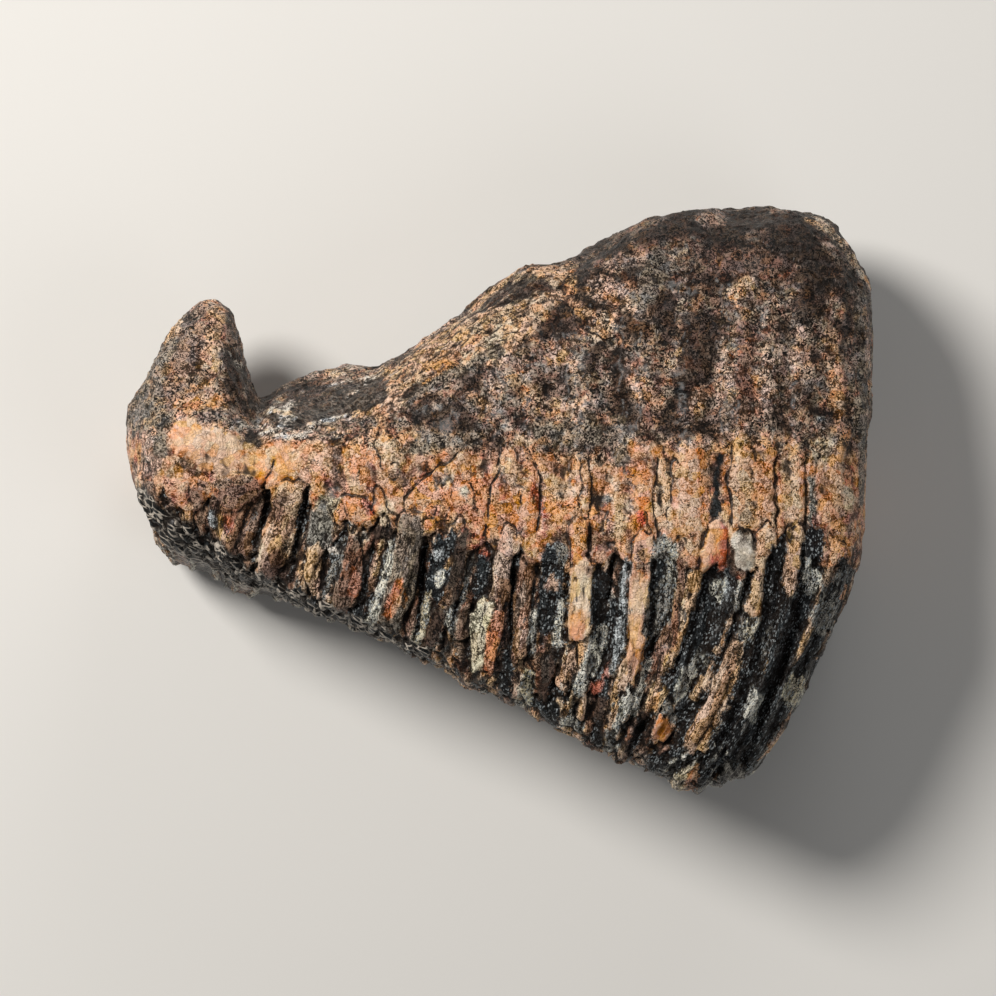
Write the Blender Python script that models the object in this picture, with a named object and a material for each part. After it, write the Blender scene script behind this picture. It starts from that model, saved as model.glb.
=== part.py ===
"""Fossil molar of a woolly mammoth, lying on its side.

The tooth is one piece: a crown of upright plates bound in cement, worn flat on
the chewing side, with the root mass above it and one hooked root at the front.
+X runs from the front root to the back of the jaw, +Y from the chewing side to
the roots, and +Z up from the side that the tooth lies on.
"""

import math
from collections import namedtuple

import bmesh
import bpy
import numpy as np
from mathutils import Vector, noise

NAME = "mammoth_tooth"
MM = 0.001

# Driving dimensions, in millimetres
PLATE_RELIEF = 3.0
CHEWING_RELIEF = 1.4
ROOT_FLUTE_RELIEF = 1.6
CEMENT_THICKNESS = 1.8
PLATE_BOW = 2.5
REST_CUT = 2.2

# The back end, from END_START on along u, draws in below the gum line, and leans
# in a little above it
END_START = 74.0
END_LENGTH = 35.0
END_TUCK = 9.0
END_TUCK_TOP = -6.0
END_TUCK_DROP = 50.0
END_LEAN = 0.045
END_LEAN_TOP = 62.0
END_LEAN_DROP = 70.0

# Share of a gap between two ridges that is flat crest, and that is its flank
CREST_SHARE = 0.2
FLANK_SHARE = 0.5

# The chewing face starts at this share of the half height below the middle
CHEWING_START = 0.86
CHEWING_FADE = 0.1

# Heights above the gum line: where the crown's ridges end, where the roots'
# flutes start, and the middle and half height of the band of cement. Each fade
# is the length over which the relief comes in.
CROWN_TOP = 4.0
CROWN_FADE = 8.0
FLUTE_START = 8.0
FLUTE_FADE = 14.0
BAND_MIDDLE = 9.0
BAND_HALF_HEIGHT = 16.5
BAND_FADE = 11.0

# The flutes come in along u from here, because the front half has none
FLUTE_FRONT = -20.0
FLUTE_FRONT_FADE = 40.0

# The sides draw in to the crest above this height
NECK_HEIGHT = 18.0
NECK_BELOW_TOP = 2.0

# Coarse lumps all over: their height and their size across
LUMP_HEIGHT = 1.5
LUMP_SIZE = 17.0

# How square the outline of a cross-section is: 2 is an ellipse, 8 nearly a box
ROOT_SQUARENESS = 3.2
CHEWING_SQUARENESS = 6.0

# A cross-section along one plate. u is the plate's place at the gum line, top
# and bottom the outline's reach along Y. half_width and mid are along Z. crest
# is the share of half_width left at the top. The tilts raise the outline's
# upward side, and lower its downward side, at the root and the chewing end.
Section = namedtuple(
    "Section", "u top bottom half_width crest mid top_tilt bottom_tilt"
)
SECTIONS = (
    Section(-109.5, 23.5, 14.5, 10.0, 0.80, 24.0, 0.0, 1.0),
    Section(-107.0, 30.5, 8.5, 20.0, 0.75, 27.0, 0.0, 3.0),
    Section(-104.3, 36.8, -2.5, 25.5, 0.70, 30.0, 0.0, 4.2),
    Section(-102.0, 41.5, -11.0, 29.0, 0.66, 33.0, 0.0, 5.0),
    Section(-98.0, 48.8, -15.5, 33.0, 0.60, 36.5, 0.0, 6.0),
    Section(-93.7, 54.3, -17.0, 34.5, 0.55, 37.5, 0.0, 6.5),
    Section(-89.2, 58.6, -19.0, 35.0, 0.52, 38.0, 0.0, 6.5),
    Section(-84.8, 59.3, -20.5, 35.2, 0.50, 38.2, 0.0, 6.3),
    Section(-80.4, 56.4, -22.0, 35.4, 0.52, 38.4, 0.0, 6.0),
    Section(-77.0, 47.5, -23.2, 35.6, 0.58, 38.6, -2.0, 5.6),
    Section(-75.2, 36.5, -23.8, 35.8, 0.68, 38.8, -5.0, 5.4),
    Section(-73.0, 29.0, -24.4, 36.0, 0.85, 38.9, -8.0, 5.2),
    Section(-66.0, 30.8, -26.0, 36.2, 0.95, 39.0, -10.0, 4.6),
    Section(-58.0, 33.6, -28.0, 36.6, 0.95, 39.3, -10.5, 3.6),
    Section(-50.0, 34.8, -31.2, 37.2, 0.93, 39.7, -10.0, 2.4),
    Section(-40.0, 36.0, -35.8, 38.2, 0.90, 40.3, -8.5, 1.6),
    Section(-32.0, 40.0, -38.8, 39.0, 0.86, 40.8, -6.5, 1.4),
    Section(-18.6, 50.4, -44.8, 40.2, 0.80, 41.6, -5.0, 1.2),
    Section(-5.3, 61.2, -52.2, 41.2, 0.78, 42.3, -4.5, 1.0),
    Section(8.0, 68.2, -59.8, 42.0, 0.76, 42.8, -4.2, 1.0),
    Section(21.2, 71.4, -66.8, 42.4, 0.75, 43.0, -4.0, 0.8),
    Section(32.7, 78.4, -72.0, 42.8, 0.75, 43.2, -3.8, 0.6),
    Section(48.6, 83.8, -76.2, 43.0, 0.76, 43.4, -3.4, 0.4),
    Section(64.8, 86.4, -79.4, 43.0, 0.78, 43.4, -3.0, 0.0),
    Section(79.2, 86.2, -84.2, 42.4, 0.78, 43.0, -3.0, 0.0),
    Section(90.1, 86.0, -83.6, 41.2, 0.77, 42.2, -3.0, 0.0),
    Section(100.1, 79.4, -81.5, 39.2, 0.76, 41.2, -3.0, 0.0),
    Section(106.0, 69.5, -79.0, 36.6, 0.78, 39.6, -2.0, 0.0),
    Section(109.0, 64.5, -76.0, 33.0, 0.82, 38.0, -1.0, 0.0),
)

# How each plate runs below the gum line: its lean, and how hard it bends
# towards the front at its tip. gum is the height of the gum line there.
Course = namedtuple("Course", "u gum lean bend")
COURSES = (
    Course(-110.0, 3.0, 0.00, 0.0000),
    Course(-84.0, 2.0, 0.00, 0.0000),
    Course(-72.0, 2.4, 0.30, 0.0000),
    Course(-66.0, 2.4, 0.37, 0.0000),
    Course(-29.0, -6.5, 0.27, 0.0000),
    Course(6.5, -15.0, 0.15, 0.0000),
    Course(18.0, -17.0, 0.10, 0.0003),
    Course(30.0, -18.0, 0.03, 0.0017),
    Course(42.0, -18.0, 0.00, 0.0034),
    Course(54.0, -18.0, 0.00, 0.0048),
    Course(66.0, -18.0, 0.00, 0.0056),
    Course(78.0, -18.0, 0.00, 0.0056),
    Course(110.0, -18.0, 0.00, 0.0056),
)

# The ridges of cement between the plates: u at the gum line, and how far the
# ridge stands proud. hollow is how deep the plate behind it lies, as a share
# of the plate relief, and start how far below the gum line that plate begins.
Ridge = namedtuple("Ridge", "u proud hollow start")
RIDGES = (
    Ridge(-101.0, 0.3, 0.5, 3.0),
    Ridge(-88.6, 0.0, 0.9, 4.0),
    Ridge(-73.0, 0.4, 1.0, -3.0),
    Ridge(-59.3, 0.6, 1.0, -1.0),
    Ridge(-48.0, 0.2, 0.6, 5.0),
    Ridge(-38.8, -0.1, 1.0, 3.0),
    Ridge(-23.8, 0.6, 1.2, 1.0),
    Ridge(-8.0, 0.1, 1.0, 4.0),
    Ridge(4.2, 0.2, 0.6, 1.0),
    Ridge(11.6, 0.0, 1.1, 3.0),
    Ridge(26.2, 0.7, 1.2, -2.0),
    Ridge(42.8, 0.8, 1.1, 3.0),
    Ridge(57.0, 0.3, 1.3, 1.0),
    Ridge(71.0, 0.0, 0.6, 8.0),
    Ridge(78.8, 0.5, 0.9, 3.0),
    Ridge(88.8, 0.2, 1.0, 0.0),
    Ridge(101.2, 0.0, 0.8, 2.0),
    Ridge(108.5, 0.0, 0.0, 0.0),
)
# Rings across one gap from ridge to ridge: crest, shoulder, foot and floor
RING_STEPS = (0.0, 0.16, 0.31, 0.5, 0.69, 0.84)
GIRTH_POINTS = 42

# Rings in front of the first ridge and behind the last one. Each has its place
# along u and its share of the full section, so the ends close in a round.
FRONT_RINGS = (
    (-110.2, 0.0), (-109.9, 0.35), (-109.5, 0.8), (-108.3, 1.0),
    (-106.8, 1.0), (-105.3, 1.0), (-103.8, 1.0), (-102.3, 1.0),
)
BACK_RINGS = (
    (108.6, 0.985), (109.4, 0.9), (109.7, 0.7), (109.8, 0.42), (109.8, 0.0),
)

# Lumps (height above 0) and hollows (below 0): a soft bump on the surface
Bump = namedtuple("Bump", "x y z radius height")
SADDLE_BUMPS = (
    Bump(-44.0, 40.0, 16.0, 7.5, 6.5),
    Bump(-61.0, 30.0, 40.0, 8.0, -4.0),
    Bump(-50.0, 27.0, 55.0, 9.0, -2.0),
    Bump(-36.0, 36.0, 24.0, 5.0, -3.0),
    Bump(-56.0, 36.0, 20.0, 7.0, 2.0),
)
HORN_BUMPS = (
    Bump(-80.0, 30.0, 62.0, 9.0, -2.5),
    Bump(-92.0, 25.0, 66.0, 10.0, 1.8),
    Bump(-88.0, 12.0, 72.0, 12.0, 1.5),
    Bump(-88.0, 45.0, 14.0, 10.0, -2.5),
    Bump(-96.0, 5.0, 4.0, 14.0, 2.0),
)
CREST_BUMPS = (
    Bump(14.5, 66.0, 40.0, 6.0, -3.0),
    Bump(7.0, 68.0, 45.0, 6.0, 2.5),
    Bump(46.0, 82.0, 62.0, 16.0, 2.0),
    Bump(100.5, 80.0, 30.0, 5.0, -4.5),
    Bump(93.0, 84.0, 26.0, 8.0, 1.6),
    Bump(105.5, 74.0, 30.0, 6.0, 2.0),
)
# Hollows where the roots broke away, along the root side
ROOT_HOLLOWS = (
    Bump(-8.0, 57.0, 40.0, 9.0, -4.0),
    Bump(30.0, 76.0, 50.0, 8.0, -4.5),
    Bump(50.0, 84.0, 30.0, 9.0, -5.0),
    Bump(70.0, 86.0, 52.0, 9.0, -5.0),
    Bump(88.0, 84.0, 40.0, 7.0, -4.0),
)
SIDE_BUMPS = (
    Bump(70.0, 60.0, 84.0, 24.0, 1.8),
    Bump(20.0, 22.0, 86.0, 20.0, -2.2),
    Bump(-12.0, 28.0, 84.0, 12.0, 1.5),
    Bump(52.0, -5.0, 86.0, 20.0, 1.5),
    Bump(92.0, 20.0, 84.0, 12.0, -1.5),
    Bump(-33.0, 14.0, 80.0, 10.0, 1.2),
    Bump(54.0, -83.0, 58.0, 6.0, 2.6),
    Bump(69.0, -81.0, 56.0, 5.0, 2.2),
    Bump(20.0, 44.0, 2.0, 22.0, -3.5),
    Bump(76.0, 52.0, 2.0, 16.0, -3.0),
    Bump(-42.0, -10.0, 3.0, 16.0, -2.0),
)
BUMPS = SADDLE_BUMPS + HORN_BUMPS + CREST_BUMPS + ROOT_HOLLOWS + SIDE_BUMPS


def curve_through(at, places, values):
    """Smooth curve through a row of values, as a cubic with the row's own slopes."""
    places = np.asarray(places, float)
    values = np.asarray(values, float)
    at = np.clip(at, places[0], places[-1])
    slopes = np.gradient(values, places)
    left = np.clip(np.searchsorted(places, at, side="right") - 1, 0, len(places) - 2)
    width = places[left + 1] - places[left]
    t = (at - places[left]) / width
    start = (1 + 2 * t) * (1 - t) ** 2 * values[left]
    end = t * t * (3 - 2 * t) * values[left + 1]
    start_slope = t * (1 - t) ** 2 * width * slopes[left]
    end_slope = t * t * (t - 1) * width * slopes[left + 1]
    return start + end + start_slope + end_slope


def column(rows, name):
    """One field of a table of rows, as a list."""
    return [getattr(row, name) for row in rows]


def along_sections(u, name):
    """A field of the cross-sections, read smoothly at u."""
    return curve_through(u, column(SECTIONS, "u"), column(SECTIONS, name))


def along_courses(u, name):
    """A field of the plates' courses, read straight between rows."""
    return np.interp(u, column(COURSES, "u"), column(COURSES, name))


def smooth_step(value):
    """0 below 0, 1 above 1, and a soft rise between."""
    value = np.clip(value, 0.0, 1.0)
    return value * value * (3 - 2 * value)


def ring_places():
    """Each ring's place along u and its share of the full section, front to back."""
    ridges = column(RIDGES, "u")
    body = []
    for here, there in zip(ridges, ridges[1:]):
        body += [(here + step * (there - here), 1.0) for step in RING_STEPS]
    return [*FRONT_RINGS, *body, *BACK_RINGS]


def section_outline(angle):
    """Across and upright, each from -1 to 1: a rounded box, squarer below."""
    cosine = np.cos(angle)
    sine = np.sin(angle)
    power = 2 / np.where(cosine > 0, ROOT_SQUARENESS, CHEWING_SQUARENESS)
    across = np.sign(sine) * np.abs(sine) ** power
    upright = np.sign(cosine) * np.abs(cosine) ** power
    return across, upright


def girth_angles():
    """Angles that space the points evenly round the widest section."""
    half_width = max(column(SECTIONS, "half_width"))
    reach = max(row.top - row.bottom for row in SECTIONS) / 2
    dense = np.linspace(0.0, 2 * math.pi, 4001)
    across, upright = section_outline(dense)
    steps = np.hypot(np.diff(across) * half_width, np.diff(upright) * reach)
    length = np.concatenate([[0.0], np.cumsum(steps)])
    wanted = np.arange(GIRTH_POINTS) / GIRTH_POINTS * length[-1]
    return np.interp(wanted, length, dense)


def plate_shift(u, y):
    """How far a plate's line has moved towards the front at height y."""
    below = np.maximum(0.0, along_courses(u, "gum") - y)
    lean = along_courses(u, "lean") * below + along_courses(u, "bend") * below**2
    at_end = smooth_step((u - END_START) / END_LENGTH)
    tuck = END_TUCK * smooth_step((END_TUCK_TOP - y) / END_TUCK_DROP) * at_end
    back = END_LEAN * np.clip(END_LEAN_TOP - y, 0.0, END_LEAN_DROP) * at_end
    return lean + tuck + back


def ridge_and_hollow(u):
    """How much of a ridge there is at u, and of the plate between two ridges."""
    rank = np.interp(u, column(RIDGES, "u"), np.arange(len(RIDGES), dtype=float))
    off_ridge = np.abs(rank - np.round(rank)) * 2
    hollow = smooth_step((off_ridge - CREST_SHARE) / FLANK_SHARE)
    return 1 - hollow, hollow, np.round(rank).astype(int), np.floor(rank).astype(int)


def relief(u, y, across, upright):
    """Height of the ridges and of the cement above the plain section."""
    gum = along_courses(u, "gum")
    ridge, hollow, nearest, behind = ridge_and_hollow(u)
    proud = np.array(column(RIDGES, "proud"))[nearest]
    depth = np.array(column(RIDGES, "hollow"))[behind]
    start = np.array(column(RIDGES, "start"))[behind]
    chewing = smooth_step((-upright - CHEWING_START) / CHEWING_FADE)
    side = across**2
    crown = smooth_step((gum - y + CROWN_TOP) / CROWN_FADE) * (1 - chewing)
    plate = smooth_step((gum - y - start) / CROWN_FADE) * (1 - chewing)
    ribs = side * (proud * ridge * crown - PLATE_RELIEF * depth * hollow * plate)
    grinding = CHEWING_RELIEF * chewing * (0.5 - ridge)
    above = smooth_step((y - gum - FLUTE_START) / FLUTE_FADE)
    behind_front = smooth_step((u - FLUTE_FRONT) / FLUTE_FRONT_FADE)
    flutes = ROOT_FLUTE_RELIEF * above * behind_front * side * (0.5 - hollow * depth)
    from_band = np.abs(y - gum - BAND_MIDDLE)
    band = CEMENT_THICKNESS * smooth_step((BAND_HALF_HEIGHT - from_band) / BAND_FADE)
    return ribs + grinding + flutes + band * side


def bump_height(points):
    """Sum of the soft bumps and of the coarse lumps at each point."""
    lumps = [noise.noise(Vector(point) / LUMP_SIZE) for point in points]
    total = LUMP_HEIGHT * np.array(lumps)
    for bump in BUMPS:
        away = points - np.array([bump.x, bump.y, bump.z])
        total += bump.height * np.exp(-(away**2).sum(1) / bump.radius**2)
    return total


def tooth_points(u, share, angle):
    """Points on the tooth, in millimetres, for rings at u and angles round them."""
    across, upright = section_outline(angle)
    top = along_sections(u, "top")
    bottom = along_sections(u, "bottom")
    level = (top + bottom) / 2 + share * upright * (top - bottom) / 2
    neck = np.minimum(NECK_HEIGHT, top - NECK_BELOW_TOP)
    rise = np.clip((level - neck) / (top - neck), 0.0, 1.0)
    drawn_in = 1 - (1 - along_sections(u, "crest")) * rise
    half_width = along_sections(u, "half_width") * drawn_in
    upper = along_sections(u, "top_tilt")
    lower = along_sections(u, "bottom_tilt")
    y = level + share * across * upright**2 * np.where(upright > 0, upper, lower)
    z = along_sections(u, "mid") + share * across * half_width
    x = u - plate_shift(u, y) - PLATE_BOW * across**2 * share
    plain = np.column_stack([x, y, z])

    outward = np.column_stack([
        np.zeros_like(u),
        np.sign(upright) * np.abs(upright) ** 4,
        np.sign(across) * across**2,
    ])
    outward /= np.linalg.norm(outward, axis=1)[:, None]
    height = relief(u, y, across, upright) * share + bump_height(plain)
    return plain + outward * height[:, None]


def rest_on_side(points):
    """Cuts the lowest ridges flat, and puts the tooth on them, over the origin."""
    points[:, 2] -= points[:, 2].min() + REST_CUT
    points[:, 2] = np.maximum(points[:, 2], 0.0)
    points[:, :2] -= (points[:, :2].min(0) + points[:, :2].max(0)) / 2
    return points


def shape_sphere_into_tooth(mesh):
    """Moves each point of a unit sphere, whose poles are the tooth's two ends."""
    rings = np.array(ring_places())
    angles = girth_angles()
    unit = np.array([vertex.co for vertex in mesh.verts], float)
    polar = np.arccos(np.clip(unit[:, 2], -1.0, 1.0))
    ring = np.rint(polar / math.pi * (len(rings) - 1)).astype(int)
    turn = np.arctan2(unit[:, 1], unit[:, 0]) / (2 * math.pi)
    step = np.rint(turn * GIRTH_POINTS).astype(int) % GIRTH_POINTS
    points = tooth_points(rings[ring, 0], rings[ring, 1], angles[step])
    for vertex, point in zip(mesh.verts, rest_on_side(points) * MM):
        vertex.co = point


def fossil_material():
    """Stained cement and root bone: brown, dull, a little waxed."""
    material = bpy.data.materials.new("stained_cement")
    material.use_nodes = True
    shader = material.node_tree.nodes["Principled BSDF"]
    shader.inputs["Base Color"].default_value = (0.17, 0.095, 0.055, 1.0)
    shader.inputs["Roughness"].default_value = 0.6
    shader.inputs["Metallic"].default_value = 0.0
    return material


def make_tooth(collection):
    """The tooth as one closed mesh, started from a sphere."""
    mesh = bmesh.new()
    bmesh.ops.create_uvsphere(
        mesh, u_segments=GIRTH_POINTS, v_segments=len(ring_places()) - 1, radius=1.0
    )
    shape_sphere_into_tooth(mesh)
    bmesh.ops.triangulate(mesh, faces=mesh.faces[:], quad_method="SHORT_EDGE")
    bmesh.ops.recalc_face_normals(mesh, faces=mesh.faces[:])
    data = bpy.data.meshes.new(NAME)
    mesh.to_mesh(data)
    mesh.free()
    data.materials.append(fossil_material())
    data.shade_smooth()
    tooth = bpy.data.objects.new(NAME, data)
    collection.objects.link(tooth)
    return tooth


def main():
    for obj in list(bpy.data.objects):
        bpy.data.objects.remove(obj)
    collection = bpy.data.collections.new(NAME)
    bpy.context.scene.collection.children.link(collection)
    make_tooth(collection)


main()
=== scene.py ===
"""Fossil molar of a woolly mammoth, lying on its side on a pale floor.

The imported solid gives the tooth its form. This script gives it its surface: the
cement ribs and enamel plates of the crown, the stained collar at the gum line,
the crumbling roots and the worn chewing face.
"""

import logging
import math
from collections.abc import Callable
from dataclasses import dataclass, field
from enum import Enum
from functools import partial

import bpy
import numpy as np
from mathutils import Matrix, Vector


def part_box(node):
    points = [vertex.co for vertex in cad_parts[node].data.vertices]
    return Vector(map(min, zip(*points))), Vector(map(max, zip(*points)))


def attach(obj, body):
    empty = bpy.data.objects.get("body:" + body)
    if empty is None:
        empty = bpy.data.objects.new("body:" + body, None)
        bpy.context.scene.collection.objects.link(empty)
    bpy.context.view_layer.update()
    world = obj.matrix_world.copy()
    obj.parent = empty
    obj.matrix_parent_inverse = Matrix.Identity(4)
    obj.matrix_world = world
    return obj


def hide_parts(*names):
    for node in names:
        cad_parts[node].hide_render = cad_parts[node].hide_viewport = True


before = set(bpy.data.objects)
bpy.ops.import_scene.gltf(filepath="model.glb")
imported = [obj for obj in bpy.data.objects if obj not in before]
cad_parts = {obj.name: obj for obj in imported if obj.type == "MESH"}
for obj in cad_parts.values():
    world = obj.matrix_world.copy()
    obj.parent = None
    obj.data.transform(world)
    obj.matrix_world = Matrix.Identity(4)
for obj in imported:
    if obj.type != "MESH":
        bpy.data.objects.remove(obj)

LOG = logging.getLogger("tooth")

TOOTH_NODE = "mammoth_tooth"
BODY = "root"

# Metres in a millimetre: every length below is in millimetres
MM = 0.001


class Tint(Enum):
    """Stains of the fossil, and the colours of painted shade and painted glints, as sRGB hex values."""

    ROOT_DARK = "#3b2b21"
    ROOT_BROWN = "#705848"
    ROOT_RED = "#654737"
    ROOT_PINK = "#957865"
    ROOT_GREY = "#675a4d"
    CLAY = "#6a5b4b"
    OLIVE_CLAY = "#8d8069"
    OCHRE = "#a5764a"
    UMBER = "#8a6648"
    BEIGE = "#bd9670"
    PALE_BEIGE = "#dab48d"
    CREAM = "#e4c8a4"
    PINK_CREAM = "#e4b48d"
    TAN = "#c69066"
    ORANGE = "#d89055"
    APRICOT = "#dda56b"
    SALMON = "#d8945f"
    DEEP_ORANGE = "#a4633b"
    RUST = "#a34e2e"
    RED_BROWN = "#7c4630"
    MAUVE_BROWN = "#6b4e3a"
    RIB_BROWN = "#674a38"
    RIB_DARK = "#33271f"
    RIB_GOLD = "#94734d"
    RIB_TAN = "#b5906d"
    GREEN_CREAM = "#b5ab90"
    CHALK = "#a9a699"
    # Bluish-white chalk on the enamel, and the colour of painted glints
    CHALK_BLUE = "#9aa0a2"
    GREY = "#67635b"
    SLATE = "#1b1f21"
    BLACK = "#0e0e0f"
    SADDLE = "#3a2e25"
    STONE = "#b0a595"
    FLECK = "#cfc4b6"
    # Dark pits and cracks, and the colour that painted shade in the hollows turns towards
    PIT = "#1b130e"


class Surface(Enum):
    """What a mark is made of, as its shares of bare enamel and of smoothness."""

    CEMENT = (0.0, 0.0)
    ENAMEL = (1.0, 0.0)
    SMOOTH = (0.0, 1.0)


def linear(code: str) -> tuple[float, float, float]:
    """Turns an sRGB hex value into linear light.

    Args:
        code: a colour such as "#a0522d".

    Returns:
        Red, green and blue, each from 0 to 1.
    """
    parts = [int(code[i:i + 2], 16) / 255 for i in (1, 3, 5)]
    red, green, blue = (
        part / 12.92 if part <= 0.04045 else ((part + 0.055) / 1.055) ** 2.4 for part in parts
    )
    return red, green, blue


def smooth_step(value: np.ndarray) -> np.ndarray:
    """Gives 0 below 0, 1 above 1 and a soft rise between."""
    value = np.clip(value, 0.0, 1.0)
    return value * value * (3 - 2 * value)


def blend(first: np.ndarray, second: np.ndarray, share: np.ndarray) -> np.ndarray:
    """Mixes two sets of values, or of colours, by a share of the second.

    Args:
        first: values or colours, one for each point.
        second: the same, or one value for all points.
        share: from 0 for all of the first to 1 for all of the second.

    Returns:
        The mixed values or colours.
    """
    if np.ndim(first) == 2:
        share = share[:, None]
    return first + (second - first) * share


class Grain:
    """Repeatable noise on points in millimetres, the same on every run."""

    PRIMES = (374761393, 668265263, 1442695041, 2246822519)

    @classmethod
    def cell_value(cls, cells: np.ndarray, seed: int) -> np.ndarray:
        """Gives each whole-numbered cell a value of its own.

        Args:
            cells: whole-numbered places, three to a row.
            seed: picks one pattern out of many.

        Returns:
            One value from -1 to 1 for each row.
        """
        whole = cells.astype(np.int64)
        mixed = sum(whole[:, i] * cls.PRIMES[i] for i in range(3)) + seed * cls.PRIMES[3]
        mixed = (mixed & 0xFFFFFFFF).astype(np.uint64)
        mixed = ((mixed ^ (mixed >> np.uint64(15))) * np.uint64(2246822519)) & np.uint64(0xFFFFFFFF)
        mixed = ((mixed ^ (mixed >> np.uint64(13))) * np.uint64(3266489917)) & np.uint64(0xFFFFFFFF)
        mixed ^= mixed >> np.uint64(16)
        return mixed.astype(float) / 2**31 - 1

    @classmethod
    def smooth(cls, points: np.ndarray, size: float | tuple, seed: int) -> np.ndarray:
        """Soft noise with one lump about every size.

        Args:
            points: places in millimetres.
            size: distance between lumps, or one distance for each axis.
            seed: picks the pattern.

        Returns:
            Values from -1 to 1.
        """
        scaled = points / np.asarray(size, float)
        corner = np.floor(scaled)
        part = smooth_step(scaled - corner)
        total = np.zeros(len(points))
        for step in np.ndindex(2, 2, 2):
            weight = np.prod(np.where(step, part, 1 - part), axis=1)
            total += weight * cls.cell_value(corner + step, seed)
        return total

    @classmethod
    def layered(cls, points: np.ndarray, size: float | tuple, seed: int, layers: int = 3) -> np.ndarray:
        """Soft noise with finer and weaker layers on it.

        Args:
            points: places in millimetres.
            size: distance between the largest lumps.
            seed: picks the pattern.
            layers: how many layers, each half the size of the one before.

        Returns:
            Values from about -1 to 1.
        """
        sizes = [np.asarray(size, float) / 2**layer for layer in range(layers)]
        return sum(
            cls.smooth(points, sizes[layer], seed + layer) * 0.55**layer for layer in range(layers)
        )

    @classmethod
    def ridged(cls, points: np.ndarray, size: float | tuple, seed: int) -> np.ndarray:
        """Thin winding crests about a size apart.

        Args:
            points: places in millimetres.
            size: distance between crests.
            seed: picks the pattern.

        Returns:
            Values from 0 to 1, which is the top of a crest.
        """
        return (1 - np.abs(cls.smooth(points, size, seed))) ** 3

    @classmethod
    def flakes(
        cls, points: np.ndarray, size: float | tuple, seed: int
    ) -> tuple[np.ndarray, np.ndarray, np.ndarray]:
        """Splits space into flakes, each round a centre of its own.

        Args:
            points: places in millimetres.
            size: about how far apart the flakes' centres are.
            seed: picks the pattern.

        Returns:
            The distance to the nearest centre and to the flake's edge, both as
            shares of the size, and that flake's own value from -1 to 1.
        """
        scaled = points / np.asarray(size, float)
        corner = np.floor(scaled)
        nearest = np.full(len(points), 9.0)
        second = nearest.copy()
        value = np.zeros(len(points))
        for step in np.ndindex(3, 3, 3):
            cell = corner + np.array(step) - 1
            shifts = [cls.cell_value(cell, seed + axis) for axis in range(3)]
            away = np.linalg.norm(scaled - cell - 0.5 - 0.4 * np.column_stack(shifts), axis=1)
            closer = away < nearest
            second = np.where(closer, nearest, np.minimum(second, away))
            nearest = np.where(closer, away, nearest)
            value = np.where(closer, shifts[0], value)
        return nearest, 0.5 * (second - nearest), value


@dataclass(frozen=True)
class Bed:
    """Soft-edged patches with a few winding cracks, in millimetres.

    size is a patch's width, length and depth, and step how far patches stand
    above each other. tints hold a starting level, a stain and a share of bare
    enamel, from the lowest patches to the highest.
    """

    size: tuple
    seed: int
    step: float
    seam_depth: float
    seam_width: float
    tints: tuple

    def read(self, points: np.ndarray) -> tuple[np.ndarray, np.ndarray]:
        """Finds each point's patch.

        Args:
            points: places in millimetres, on the bed's own axes.

        Returns:
            A level from about -1 to 1, and millimetres to the nearest crack.
        """
        level = Grain.layered(points, self.size, self.seed, 4)
        wide = 1.9 * np.array(self.size)
        crack = np.abs(Grain.layered(points, wide, self.seed + 7, 3))
        closed = smooth_step(0.4 + 2.5 * Grain.smooth(points, wide, self.seed + 11))
        return level, crack * wide[0] / 2 + 2.0 * closed

    def height(self, level: np.ndarray, gap: np.ndarray) -> np.ndarray:
        """How proud patches stand, less the cracks between them."""
        return self.step * level - self.seam_depth * np.exp(-((gap / self.seam_width) ** 2))

    def stain(self, level: np.ndarray) -> np.ndarray:
        """Reads the stain of patches at each level.

        Args:
            level: values from about -1 to 1.

        Returns:
            Linear red, green and blue, and the share of bare enamel.
        """
        rows = [np.array([*linear(tint.value), enamel]) for _, tint, enamel in self.tints]
        stains = np.tile(rows[0], (len(level), 1))
        for (start, _, _), row in zip(self.tints[1:], rows[1:]):
            stains = blend(stains, row, smooth_step((level - start) / 0.1 + 0.5))
        return stains


@dataclass(frozen=True)
class Layers(Bed):
    """Thin layers that end in ragged steps, like the edge of split slate."""

    terraces: float = 3.0

    def read(self, points: np.ndarray) -> tuple[np.ndarray, np.ndarray]:
        """Finds each point's layer.

        Args:
            points: places in millimetres, on the bed's own axes.

        Returns:
            A level from about -1 to 1, and millimetres to the layer's edge.
        """
        smooth = Grain.layered(points, self.size, self.seed, 3)
        part = smooth * self.terraces % 1.0
        level = smooth + (smooth_step((part - 0.5) / 0.3 + 0.5) - part) / self.terraces
        edge = np.minimum(part, 1 - part) / self.terraces
        return level, edge * self.size[0]


@dataclass(frozen=True)
class Splinters(Bed):
    """Long ragged splinters of cement and enamel, each with a stain of its own."""

    ragged: float = 1.1
    spread: float = 0.65

    def read(self, points: np.ndarray) -> tuple[np.ndarray, np.ndarray]:
        """Finds each point's splinter.

        Args:
            points: places in millimetres, on the bed's own axes.

        Returns:
            Its level from about -1 to 1, and millimetres to its edge.
        """
        shakes = [Grain.layered(points, (2.4, 5.2, 5.2), self.seed + 10 + axis, 2) for axis in range(3)]
        _, gap, value = Grain.flakes(points + self.ragged * np.column_stack(shakes), self.size, self.seed)
        return self.spread * value, gap * self.size[0]


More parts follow.
